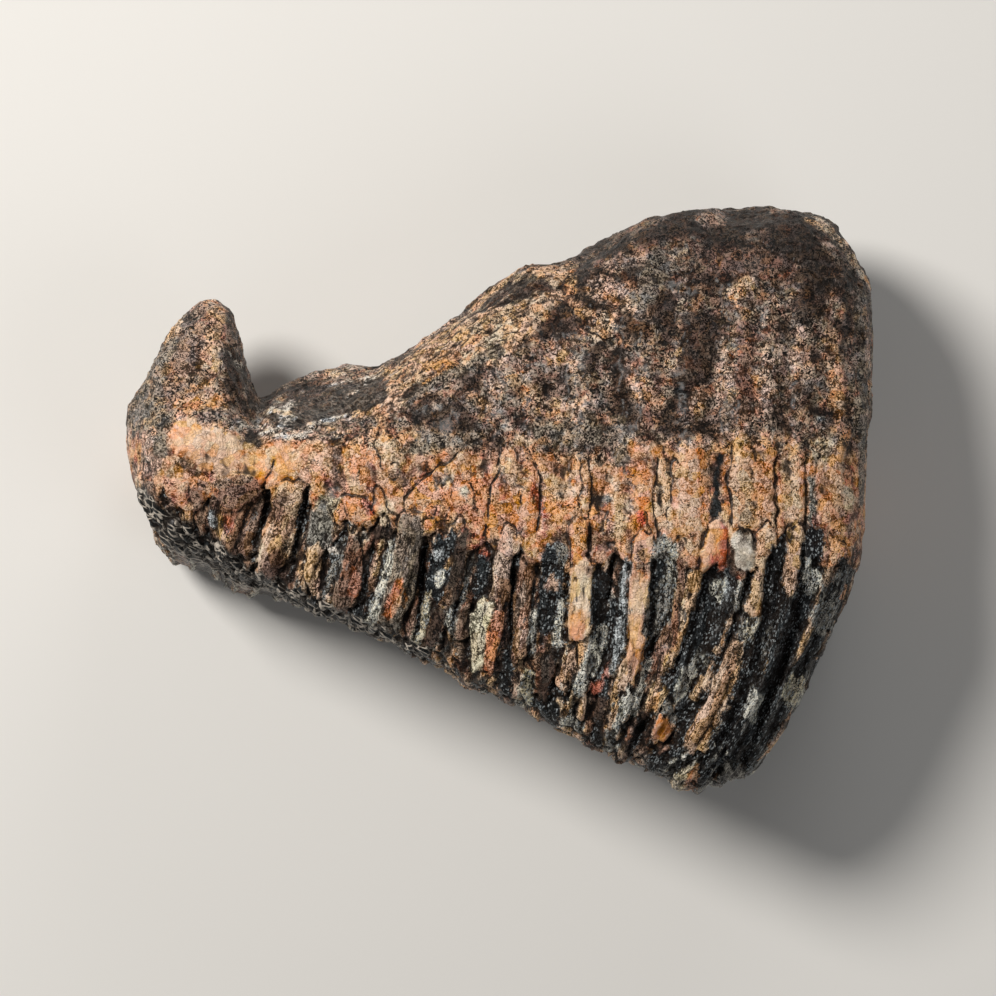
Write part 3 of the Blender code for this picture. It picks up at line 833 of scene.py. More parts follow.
# Deep black crevices between plates, as pixel across, down and half width
CREVICES = (
    ((268, 490, 2.5), (263, 520, 4), (256, 534, 4), (252, 573, 2)),
    ((308, 489, 2), (303, 525, 7), (288, 575, 2)),
    ((374, 543, 2), (360, 613, 2)),
    ((426, 543, 4), (421, 599, 4), (414, 640, 2)),
    ((515, 560, 3), (512, 610, 3), (510, 650, 2)),
    ((567, 575, 4), (562, 640, 3)),
    ((612, 560, 3), (608, 600, 3)),
    ((628, 562, 2), (626, 640, 2.5), (610, 690, 2)),
    ((654, 560, 2.5), (653, 620, 3), (632, 690, 2)),
    ((705, 580, 5), (690, 640, 6), (660, 690, 3)),
    ((748, 570, 3), (738, 620, 5), (712, 680, 4), (690, 720, 3)),
    ((770, 560, 4), (765, 610, 6), (745, 680, 7), (715, 750, 4)),
    ((803, 550, 3), (800, 600, 5), (775, 690, 6), (745, 760, 4)),
    ((553, 692, 7), (566, 690, 6)),
    ((636, 728, 6), (646, 722, 4)),
)

MARKS = HORN_AND_SADDLE + ROOTS + COLLAR + CROWN

# The worn edge beside the chewing face: a dark band with a pale net over it
WORN_BAND = Mark(
    Tint.SLATE, -0.3,
    (
        (140, 492, 6), (152, 522, 17), (185, 553, 23), (235, 580, 19), (300, 603, 13), (360, 627, 9),
        (425, 652, 7),
    ),
)

# Bone with a thin pale net over it
NETTED = (
    Mark(Tint.SADDLE, 0.0, ((262, 415, 14), (325, 403, 20), (378, 395, 14))),
    Mark(Tint.SADDLE, 0.0, ((196, 428, 4), (262, 434, 5), (320, 430, 5), (372, 416, 6))),
    Mark(Tint.SADDLE, 0.0, ((140, 400, 5), (142, 430, 6))),
)

# The bone slope behind the saddle, whose flakes run along its edge
SLOPE = Mark(
    Tint.BEIGE, 0.0,
    ((372, 398, 22), (410, 370, 24), (446, 335, 24), (494, 326, 30), (530, 292, 28), (548, 284, 24)),
)
SLOPE_ANGLE = 38.0

# Cracks, as pixel across and down from the top
CRACKS = (
    ((405, 500), (416, 486), (440, 465), (462, 452), (480, 440)),
    ((500, 440), (497, 470), (490, 490), (488, 515), (484, 540)),
    ((525, 443), (540, 465), (541, 490), (538, 530)),
    ((590, 455), (592, 490), (588, 520), (590, 550)),
    ((262, 488), (270, 470), (274, 460)),
    ((268, 490), (264, 520), (256, 545), (252, 572)),
    ((308, 488), (304, 510), (300, 540), (290, 575)),
    ((656, 460), (654, 500), (657, 540)),
    ((730, 440), (728, 480), (729, 525)),
    ((778, 440), (776, 480), (779, 530)),
    ((806, 440), (808, 480), (806, 530)),
    ((560, 300), (600, 340), (612, 344)),
    ((640, 262), (668, 274), (690, 270)),
    ((760, 246), (800, 262), (820, 258)),
    ((720, 440), (690, 426), (670, 430)),
    ((392, 412), (376, 440), (380, 470)),
)


@dataclass
class ToothSkin:
    """The tooth's finished surface, made from the solid's own form."""

    node: str = TOOTH_NODE
    voxel: float = 0.62
    triangle_limit: int = 196000
    upward_share: float = 0.64
    crevice_depth: float = 1.9
    crack_depth: float = 1.0
    crack_width: float = 0.5
    pit_depth: float = 0.5
    pit_spacing: float = 6.4
    lump_depth: float = 0.8
    collar_lip: float = 0.8
    plate_swell: float = 1.2
    # How far marks are pushed about down the sides, in pixels, and the pushes' size
    side_push: float = 17.0
    side_push_size: float = 15.0
    courses: PlateCourses = field(default_factory=PlateCourses)
    picture: Picture = field(default_factory=Picture)

    def build(self) -> bpy.types.Object:
        """Makes the piece.

        Returns:
            The finished object, with its attributes and no material.
        """
        tooth = self.copy_solid()
        self.refine(tooth)
        self.carve(tooth)
        self.thin_out(tooth)
        self.write_points(tooth, self.points_and_normals(tooth)[0])
        self.paint(tooth)
        return tooth

    def copy_solid(self) -> bpy.types.Object:
        """Copies the solid's mesh and joins its loose triangles.

        Returns:
            The copy, in metres like the solid.
        """
        bpy.ops.object.select_all(action="DESELECT")
        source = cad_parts[self.node]
        tooth = bpy.data.objects.new("tooth", source.data.copy())
        bpy.context.scene.collection.objects.link(tooth)
        tooth.data.materials.clear()
        bpy.context.view_layer.objects.active = tooth
        tooth.select_set(True)
        bpy.ops.object.mode_set(mode="EDIT")
        bpy.ops.mesh.select_all(action="SELECT")
        bpy.ops.mesh.remove_doubles(threshold=1e-6)
        bpy.ops.mesh.tris_convert_to_quads(face_threshold=math.radians(60), shape_threshold=math.radians(60))
        bpy.ops.object.mode_set(mode="OBJECT")
        return tooth

    def refine(self, tooth: bpy.types.Object) -> None:
        """Rounds the solid's facets and gives it an even, fine mesh.

        Args:
            tooth: the mesh object.
        """
        rounding = tooth.modifiers.new("rounding", "SUBSURF")
        rounding.levels = 2
        rounding.render_levels = 2
        bpy.ops.object.modifier_apply(modifier=rounding.name)
        even = tooth.modifiers.new("even", "REMESH")
        even.mode = "VOXEL"
        even.voxel_size = self.voxel * MM
        bpy.ops.object.modifier_apply(modifier=even.name)

    def thin_out(self, tooth: bpy.types.Object) -> None:
        """Brings the mesh under its limit of triangles, and spares the upward side.

        Args:
            tooth: the mesh object.
        """
        bpy.ops.object.mode_set(mode="EDIT")
        bpy.ops.mesh.select_all(action="SELECT")
        bpy.ops.mesh.quads_convert_to_tris()
        bpy.ops.object.mode_set(mode="OBJECT")
        LOG.info("%s: %d triangles before thinning", tooth.name, len(tooth.data.polygons))
        for upward, share in ((True, self.upward_share), (False, 1 - self.upward_share)):
            chosen = self.facing(tooth, upward)
            ratio = share * self.triangle_limit / int(chosen.sum())
            if ratio < 1:
                self.select_faces(tooth, chosen)
                bpy.ops.object.mode_set(mode="EDIT")
                bpy.ops.mesh.decimate(ratio=ratio)
                bpy.ops.object.mode_set(mode="OBJECT")

    @staticmethod
    def facing(tooth: bpy.types.Object, upward: bool) -> np.ndarray:
        """Picks the faces of the upward side, or all the others.

        Args:
            tooth: the mesh object.
            upward: whether the upward side is meant.

        Returns:
            True for each face that is picked.
        """
        count = len(tooth.data.polygons)
        centres = np.empty(count * 3, np.float32)
        tooth.data.polygons.foreach_get("center", centres)
        normals = np.empty(count * 3, np.float32)
        tooth.data.polygons.foreach_get("normal", normals)
        lowest, steepest = 0.03, -0.1
        seen = (centres[2::3] > lowest) & (normals[2::3] > steepest)
        return seen if upward else ~seen

    @staticmethod
    def select_faces(tooth: bpy.types.Object, chosen: np.ndarray) -> None:
        """Selects some faces, with their edges and vertices, and nothing else.

        Args:
            tooth: the mesh object.
            chosen: True for each face to select.
        """
        bpy.ops.object.mode_set(mode="EDIT")
        bpy.ops.mesh.select_mode(type="FACE")
        bpy.ops.mesh.select_all(action="DESELECT")
        bpy.ops.object.mode_set(mode="OBJECT")
        tooth.data.polygons.foreach_set("select", chosen)

    @staticmethod
    def points_and_normals(tooth: bpy.types.Object) -> tuple[np.ndarray, np.ndarray]:
        """Reads a mesh's vertices.

        Args:
            tooth: a mesh object.

        Returns:
            Places in millimetres and unit normals.
        """
        count = len(tooth.data.vertices)
        places = np.empty(count * 3, np.float32)
        tooth.data.vertices.foreach_get("co", places)
        normals = np.empty(count * 3, np.float32)
        tooth.data.vertex_normals.foreach_get("vector", normals)
        return places.reshape(-1, 3).astype(float) / MM, normals.reshape(-1, 3).astype(float)

    def write_points(self, tooth: bpy.types.Object, points: np.ndarray) -> None:
        """Moves a mesh's vertices, inside the solid's box.

        Args:
            tooth: a mesh object.
            points: places in millimetres.
        """
        low, high = (np.array(corner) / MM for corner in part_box(self.node))
        inside = np.clip(points, low + 0.01, high - 0.01)
        inside[:, 2] = np.maximum(inside[:, 2], 0.0)
        tooth.data.vertices.foreach_set("co", (inside * MM).astype(np.float32).ravel())
        tooth.data.update()

    def warped(self, points: np.ndarray) -> np.ndarray:
        """Picture places, pushed about so that marks get ragged edges.

        Args:
            points: places in millimetres.

        Returns:
            Pixel places.
        """
        places = self.picture.places(points)
        crown = smooth_step((places[:, 1] - 460.0) / 70.0)
        low = 1 - smooth_step((points[:, 2] - 40.0) / (20.0 + 22.0 * (1 - crown)))
        for axis in range(2):
            push = Grain.layered(points, self.side_push_size, 15 + axis, 2)
            places[:, axis] += self.side_push * low * push
            lump = 3.2 * Grain.smooth(points, 5.0, 11 + axis) + 2.2 * Grain.smooth(points, 1.9, 21 + axis)
            places[:, axis] += (1 - crown) * lump
        places[:, 0] += 3.2 * crown * Grain.smooth(points, (6.0, 15.0, 9.0), 13)
        places[:, 0] += 1.9 * crown * Grain.smooth(points, (1.2, 3.2, 3.0), 23)
        places[:, 1] += 9.0 * crown * Grain.layered(points, (2.2, 26.0, 12.0), 26, 2)
        return places

    def zones(self, points: np.ndarray, normals: np.ndarray) -> dict[str, np.ndarray]:
        """Shares of each zone of the tooth at each point.

        Args:
            points: places in millimetres.
            normals: unit normals.

        Returns:
            The plates' places, the shares of front and rib, and the shares of
            roots, slope, collar, crown, dark_end and chewing, which add up to 1.
        """
        at = self.courses.solve(points)
        wander = 1.6 * Grain.smooth(points, 9.0, 31) + 0.9 * Grain.smooth(points, 3.0, 32)
        low = 1 - smooth_step((points[:, 2] - 40.0) / 14.0)
        drift = wander + 2.6 * Grain.smooth(points, 24.0, 34) * low
        off = np.abs(at["rank"] - np.round(at["rank"])) * 2
        whole = np.round(at["rank"])
        own = Grain.cell_value(np.column_stack([whole, whole * 0, whole * 0]), 33)
        arch = 5.0 * (1 - off**2) - 2.5 + 2.0 * own
        level = points[:, 2] - 34.0 + 3.0 * wander + 5.0 * Grain.smooth(points, 16.0, 38)
        at["front"] = smooth_step(level / 14.0)
        at["rib"] = smooth_step((0.5 - off + 0.1 * wander) / 0.12)
        below = smooth_step((at["drop"] - arch + drift) / 1.6)
        above = smooth_step((self.courses.read("collar_height", at["u"]) + at["drop"] + 2.2 * drift) / 5.0)
        worn = smooth_step((-normals[:, 1] - 0.55) / 0.2) * smooth_step(
            (self.courses.read("bottom", at["u"]) + 16.0 - 15.0 * at["front"] - at["y"]) / 8.0
        )
        dark = smooth_step((at["u"] - 58.0 + 5.0 * wander) / 8.0)
        sloped = smooth_step(0.5 + SLOPE.reach(self.warped(points)) / 5.0)
        sloped *= smooth_step((points[:, 2] - 26.0 + 5.0 * drift) / 16.0)
        at["collar"] = (1 - below) * above
        at["slope"] = (1 - below) * (1 - above) * sloped
        at["roots"] = (1 - below) * (1 - above) * (1 - sloped)
        at["chewing"] = below * worn
        at["dark_end"] = below * (1 - worn) * dark
        at["crown"] = below * (1 - worn) * (1 - dark)
        return at

    def with_marks(self, points: np.ndarray, ground: np.ndarray, front: np.ndarray) -> np.ndarray:
        """Sets the listed marks and crevices into the ground.

        Args:
            points: places in millimetres.
            ground: the ground's height in millimetres.
            front: share of the upward side at each point.

        Returns:
            Heights in millimetres.
        """
        places = self.warped(points)
        total = ground.copy()
        for mark in MARKS:
            if mark.height:
                reach = mark.reach(places)
                raised = 0.8 * mark.height + 0.45 * ground
                total = blend(total, raised, smooth_step(0.5 + reach / 2.4))
                if mark.outlined:
                    depth = np.maximum(0.0, 0.5 + 0.8 * Grain.smooth(points, 6.0, 36))
                    total -= depth * np.exp(-((reach + 2.0) / 1.8) ** 2)
        total -= self.crevice_depth * self.crevice_share(points)
        return blend(ground, total, front)

    def crevice_share(self, points: np.ndarray) -> np.ndarray:
        """Share of a crevice at each point.

        Args:
            points: places in millimetres.

        Returns:
            Values from 0 to 1.
        """
        places = self.warped(points)
        share = np.zeros(len(points))
        for path in CREVICES:
            reach = Mark(Tint.BLACK, 0.0, path).reach(places)
            share = np.maximum(share, smooth_step(0.2 + reach / 3.0))
        return share

    def crack_distance(self, points: np.ndarray) -> np.ndarray:
        """Distance to the nearest crack.

        Args:
            points: places in millimetres.

        Returns:
            Millimetres, and a long way off the upward side.
        """
        places = self.warped(points)
        nearest = np.full(len(points), 1e3)
        for path in CRACKS:
            line = Mark(Tint.PIT, 0.0, tuple((*bend, 0.0) for bend in path))
            nearest = np.minimum(nearest, -line.reach(places))
        return np.where(points[:, 2] > 40.0, nearest * self.picture.mm_per_pixel, 1e3)

    def carve(self, tooth: bpy.types.Object) -> None:
        """Raises ribs, flakes and enamel, and cuts grooves, pits and cracks.

        Args:
            tooth: the mesh object.
        """
        points, normals = self.points_and_normals(tooth)
        at = self.zones(points, normals)
        plates = at["crown"] + at["dark_end"]
        height = self.with_marks(points, self.ground(points, at)["height"], at["front"])
        height += (1 - at["front"]) * plates * self.plate_swell * (at["rib"] - 0.5)
        height += self.collar_lip * at["collar"] * smooth_step((6.0 + at["drop"]) / 3.0)
        height += self.chewing_height(at) * at["chewing"]
        lumps = Grain.layered(points, 9.0, 41, 4)
        lumpy = at["roots"] + 0.5 * at["slope"] + 0.35 * at["collar"] + 0.3 * plates
        height += self.lump_depth * lumps * lumpy
        self.write_points(tooth, points + normals * height[:, None])

        points, normals = self.points_and_normals(tooth)
        along = np.column_stack([at["u"], at["y"], points[:, 2]])
        crunch = at["roots"] + 0.4 * at["slope"] + 0.25 * at["collar"]
        fine = 0.3 * crunch * (Grain.ridged(points, 2.2, 51) - 0.4)
        fine += 0.2 * crunch * Grain.smooth(points, 1.3, 52)
        jolt = 1.6 * np.column_stack([Grain.smooth(points, 3.0, 56 + axis) for axis in range(3)])
        pits, _, _ = Grain.flakes(points + jolt, self.pit_spacing, 61)
        pits += 0.35 * smooth_step(0.5 + 1.2 * Grain.smooth(points, 22.0, 62))
        fine -= self.pit_depth * (at["roots"] + 0.4 * plates) * smooth_step((0.3 - pits) / 0.2)
        jitter = 0.7 * np.column_stack([Grain.smooth(points, 2.4, 64 + axis) for axis in range(3)])
        _, _, chips = Grain.flakes(along + jitter, (2.4, 4.6, 5.0), 67)
        fine += 0.3 * chips * (plates + 0.5 * at["collar"] + 0.5 * at["slope"])
        _, _, crumbs = Grain.flakes(points + jitter, 1.9, 68)
        fine += 0.14 * crumbs * crunch
        lines = Grain.smooth(along, (1.7, 13.0, 9.0), 71) + 0.6 * Grain.smooth(along, (0.95, 6.0, 5.0), 72)
        fine += 0.26 * lines * (plates + 0.35 * at["collar"])
        fine += 0.14 * plates * Grain.smooth(along, (4.0, 1.1, 4.0), 73)
        crack = self.crack_distance(points)
        fine -= self.crack_depth * np.exp(-((crack / self.crack_width) ** 2))
        self.write_points(tooth, points + normals * fine[:, None])

    def chewing_height(self, at: dict[str, np.ndarray]) -> np.ndarray:
        """Enamel loops that stand proud of the worn dentine and cement.

        Args:
            at: places among the plates.

        Returns:
            Heights in millimetres.
        """
        ring = self.enamel_ring(at)
        rim = np.exp(-(((ring - 1.0) / 0.2) ** 2))
        inner = smooth_step((0.9 - np.abs(at["across"])) / 0.2)
        return (0.8 * rim - 0.5 * smooth_step((0.95 - ring) / 0.3) - 0.2) * inner

    @staticmethod
    def enamel_ring(at: dict[str, np.ndarray]) -> np.ndarray:
        """How far out each point is in its plate's enamel loop.

        Args:
            at: places among the plates.

        Returns:
            0 in a plate's middle and 1 on its enamel.
        """
        part = at["rank"] - np.floor(at["rank"]) - 0.5
        places = np.column_stack([at["u"], at["y"] * 0.0, 42.0 * at["across"]])
        waves = 0.05 * Grain.smooth(places, (60.0, 1.0, 2.2), 97) + 0.07 * Grain.layered(places, 11.0, 98, 2)
        return np.sqrt(((part + waves) / 0.25) ** 2 + (at["across"] / 0.9) ** 8)

    def ground(self, points: np.ndarray, at: dict[str, np.ndarray]) -> dict[str, np.ndarray]:
        """Flakes of every zone, all the way round the tooth.

        Args:
            points: places in millimetres.
            at: places among the plates, and the zones.

        Returns:
            height, stain (linear colours), enamel (share of bare enamel) and
            seam (millimetres to a flake's edge).
        """
        count = len(points)
        total = {"height": np.zeros(count), "stain": np.zeros((count, 4)), "seam": np.zeros(count)}
        for zone, bed, places, start in self.beds(points, at):
            inside = at[zone] > 0.001
            share = at[zone][inside]
            level, gap = bed.read(places[inside])
            total["height"][inside] += share * bed.height(level, gap)
            total["stain"][inside] += share[:, None] * bed.stain(level + start[inside])
            total["seam"][inside] += share * np.minimum(gap if bed.seam_depth else 3.0, 3.0)
        total["stain"] += at["chewing"][:, None] * self.chewing_stain(at)
        total["seam"] += 3.0 * at["chewing"]
        total["enamel"] = total["stain"][:, 3]
        total["stain"] = total["stain"][:, :3]
        return total

    @staticmethod
    def beds(points: np.ndarray, at: dict[str, np.ndarray]) -> tuple:
        """Each zone's bed, the places its flakes are cut on and its level.

        Args:
            points: places in millimetres.
            at: places among the plates, and the zones.

        Returns:
            Rows of zone, bed, places and the level that its flakes start from.
        """
        along = np.column_stack([at["u"], at["y"], points[:, 2]])
        turn = math.radians(SLOPE_ANGLE)
        run = points[:, 0] * math.cos(turn) + points[:, 1] * math.sin(turn)
        rise = points[:, 1] * math.cos(turn) - points[:, 0] * math.sin(turn)
        broad = Grain.layered(points, 18.0, 81, 2)
        patch = Grain.layered(points, 5.0, 84, 2)
        top = smooth_step((points[:, 1] - 40.0) / 25.0)
        back = smooth_step((at["u"] - 40.0) / 30.0)
        ribs = 0.85 * (at["rib"] - 0.5) + 0.2 * patch
        return (
            ("roots", ROOT_BED, points, 0.3 * broad - 0.5 * top),
            ("slope", SLOPE_BED, np.column_stack([rise, run, points[:, 2]]), 0.15 * patch),
            ("collar", COLLAR_BED, along, 0.3 * broad - 0.2 * back),
            ("crown", CROWN_BED, along, ribs),
            ("dark_end", DARK_END_BED, along, 0.6 * ribs - 0.1),
        )

    def chewing_stain(self, at: dict[str, np.ndarray]) -> np.ndarray:
        """Stains of the worn face: pale enamel loops round brown dentine.

        Args:
            at: places among the plates.

        Returns:
            Linear red, green and blue, and the share of bare enamel.
        """
        ring = self.enamel_ring(at)
        rim = np.exp(-(((ring - 1.0) / 0.16) ** 2))
        rows = [np.array(linear(tint.value)) for tint in (Tint.RIB_DARK, Tint.RIB_BROWN, Tint.CHALK)]
        worn = np.tile(rows[0], (len(ring), 1))
        worn = blend(worn, rows[1], smooth_step((0.85 - ring) / 0.15))
        worn = blend(worn, rows[2], rim)
        return np.column_stack([worn, rim])

    def paint(self, tooth: bpy.types.Object) -> None:
        """Stores each vertex's stain, zone and grain for the material.

        Args:
            tooth: the mesh object.
        """
        points, normals = self.points_and_normals(tooth)
        at = self.zones(points, normals)
        places = self.warped(points)
        ground = self.ground(points, at)
        stains, enamel = ground["stain"], ground["enamel"]
        shade = 0.5 * smooth_step((points[:, 1] - 50.0) / 25.0) * at["roots"]
        calm = 0.32 * at["collar"]
        seam = ground["seam"]
        closed = 1.2 * smooth_step(0.5 + 1.6 * Grain.smooth(points, 5.0, 37))
        for mark in MARKS:
            reach = mark.reach(places)
            share = smooth_step(0.5 + reach / 1.6) * at["front"]
            stains = blend(stains, np.array(linear(mark.tint.value)), share)
            enamel = blend(enamel, mark.surface.value[0], share)
            calm = blend(calm, mark.surface.value[1], share)
            seam = np.maximum(seam, share * np.clip(reach, 0.0, 3.0) * (mark.height > 0))
            if mark.outlined:
                away = np.abs(reach + 0.5) * self.picture.mm_per_pixel
                seam = np.minimum(seam, away + closed + 9.0 * (1 - at["front"]))
        groove = self.crevice_share(points) * at["front"]
        stains = blend(stains, np.array(linear(Tint.BLACK.value)), groove)
        worn = smooth_step(0.5 + WORN_BAND.reach(places) / 6.0) * at["front"]
        shown = smooth_step((points[:, 2] - 22.0) / 20.0) * smooth_step((-20.0 - at["u"]) / 30.0)
        lace = np.maximum(worn, at["chewing"] * shown)
        stains = blend(stains, np.array(linear(WORN_BAND.tint.value)), worn)
        shade = np.maximum(shade, 0.65 * worn)
        enamel = enamel * (1 - lace)
        for mark in NETTED:
            netted = 0.45 * smooth_step(0.5 + mark.reach(places) / 8.0) * at["front"]
            lace = np.maximum(lace, netted)
        self.store(tooth, "stain", stains * (1 - shade[:, None]))
        self.store(tooth, "enamel", np.clip(np.maximum(enamel, groove * (1 - worn)), 0.0, 1.0))
        self.store(tooth, "seam", seam)
        self.store(tooth, "crack", self.crack_distance(points))
        self.store(tooth, "lace", lace)
        self.store(tooth, "calm", np.clip(calm, 0.0, 1.0))
        self.store(tooth, "crunch", np.clip(at["roots"] + 0.4 * at["slope"] + 0.3 * at["collar"], 0.0, 1.0))
        # Depth below the surroundings, which the material paints as shade in hollows and as highlights on
        # crests
        self.store(tooth, "hollow", self.hollowness(tooth, points, normals))
        self.store(tooth, "along", np.column_stack([at["u"], at["y"], points[:, 2]]))
        for polygon in tooth.data.polygons:
            polygon.use_smooth = True

    @staticmethod
    def hollowness(tooth: bpy.types.Object, points: np.ndarray, normals: np.ndarray) -> np.ndarray:
        """How far each vertex lies below its surroundings.

        Args:
            tooth: the mesh object.
            points: its places in millimetres.
            normals: its unit normals.

        Returns:
            Millimetres, above 0 in a hollow and below 0 on a crest.
        """
        pairs = np.empty(len(tooth.data.edges) * 2, np.int32)
        tooth.data.edges.foreach_get("vertices", pairs)
        first, second = pairs.reshape(-1, 2).T
        count = np.bincount(first, minlength=len(points)) + np.bincount(second, minlength=len(points))
        spread = points.copy()
        for _ in range(6):
            total = np.column_stack([
                np.bincount(first, spread[second, axis], len(points))
                + np.bincount(second, spread[first, axis], len(points))
                for axis in range(3)
            ])
            spread = 0.3 * spread + 0.7 * total / count[:, None]
        return ((spread - points) * normals).sum(1)

    @staticmethod
    def store(tooth: bpy.types.Object, name: str, values: np.ndarray) -> None:
        """Writes one value, vector or colour for each vertex.

        Args:
            tooth: the mesh object.
            name: the attribute's name.
            values: one number or three for each vertex.
        """
        if values.ndim == 1:
            layer = tooth.data.attributes.new(name, "FLOAT", "POINT")
            layer.data.foreach_set("value", values.astype(np.float32))
        else:
            layer = tooth.data.attributes.new(name, "FLOAT_VECTOR", "POINT")
            layer.data.foreach_set("vector", values.astype(np.float32).ravel())


def add_node(
    tree: bpy.types.NodeTree, kind: str, inputs: tuple | dict = (), **settings: object
) -> bpy.types.Node:
    """Adds a node, sets it and links it.

    Args:
        tree: the material's node tree.
        kind: the node's type, without its ShaderNode prefix.
        inputs: values by the inputs' names, or one for each input that the node
            shows, in order. A value is plain, another node's output, a node whose
            first output is meant, or None to leave the input alone.
        settings: the node's own properties.

    Returns:
        The new node.
    """
    node = tree.nodes.new("ShaderNode" + kind)
    for name, value in settings.items():
        setattr(node, name, value)
    shown = [socket for socket in node.inputs if socket.enabled]
    named = inputs.items() if isinstance(inputs, dict) else zip(shown, inputs)
    for key, value in named:
        socket = node.inputs[key] if isinstance(key, str) else key
        if isinstance(value, bpy.types.Node):
            value = next(output for output in value.outputs if output.enabled)
        if isinstance(value, bpy.types.NodeSocket):
            tree.links.new(value, socket)
        elif value is not None:
            socket.default_value = value
    return node


def paint_of(tint: Tint) -> tuple[float, float, float, float]:
    """A tint as a colour socket takes it."""
    return (*linear(tint.value), 1.0)


# Settings that many nodes share
TIMES = {"operation": "MULTIPLY"}
PLUS = {"operation": "ADD"}
LESS = {"operation": "SUBTRACT"}
TIMES_PLUS = {"operation": "MULTIPLY_ADD"}
SOFT = {"interpolation_type": "SMOOTHSTEP"}
MIXED = {"data_type": "RGBA"}
SUMMED = {"data_type": "RGBA", "blend_type": "ADD"}
FILTERED = {"data_type": "RGBA", "blend_type": "MULTIPLY"}

Add = Callable[..., bpy.types.Node]
Sockets = dict[str, bpy.types.NodeSocket | bpy.types.Node]


@dataclass(frozen=True)
class Lumps:
    """A soft noise: millimetres between its lumps, and how finer layers are set."""

    size: float
    detail: float = 1.0
    roughness: float = 0.6
    distortion: float = 0.0


# The noises of the finish: on the tooth's own places, drawn out along its plates,
# and on places that are pushed about, which turns lumps into curls
PLACE_LUMPS = {
    "mottle": Lumps(5.0, 3.0, 0.65), "crumb": Lumps(1.9, 3.0, 0.7), "grit": Lumps(0.62, 2.0, 0.65),
    "swirl": Lumps(5.0, 3.0, 0.55, 0.9), "patch": Lumps(6.5, 2.0), "cold": Lumps(4.3, 2.0),
    "warm": Lumps(5.1, 2.0),
}
DRAWN_LUMPS = {"fibre": Lumps(1.1, 3.0, 0.75), "streak": Lumps(0.42)}
CURLED_LUMPS = {"sand": Lumps(0.7), "thread": Lumps(1.7), "fissure": Lumps(4.4), "curl": Lumps(1.25)}

# How far each pattern lightens cement and bone: its middle value and its weight
GRAIN = {
    "mottle": (0.5, 0.9), "crumb": (0.5, 1.2), "chip": (0.5, 1.0), "flake": (0.5, 0.5), "grit": (0.5, 2.6),
    "spots": (0.0, 1.0), "marble": (0.0, 1.5), "lines": (0.0, 6.0), "flecked": (0.1, 0.4),
    "threads": (0.2, 2.1), "fissure": (0.1, -1.1), "curls": (0.25, 1.4),
}

# How far each pattern chalks the enamel, on top of its fibre
CHALK = {"mottle": 0.8, "speck": 0.35, "sand": 1.2, "thread": 0.16, "chip": 0.15}

# How far each pattern stands up, as a share of the relief's height. They are few,
# because a renderer works out each one three times over
RELIEF = {"grit": 0.45, "sand": 0.8, "thread": 0.2, "chip": 0.3, "flake": 0.35}


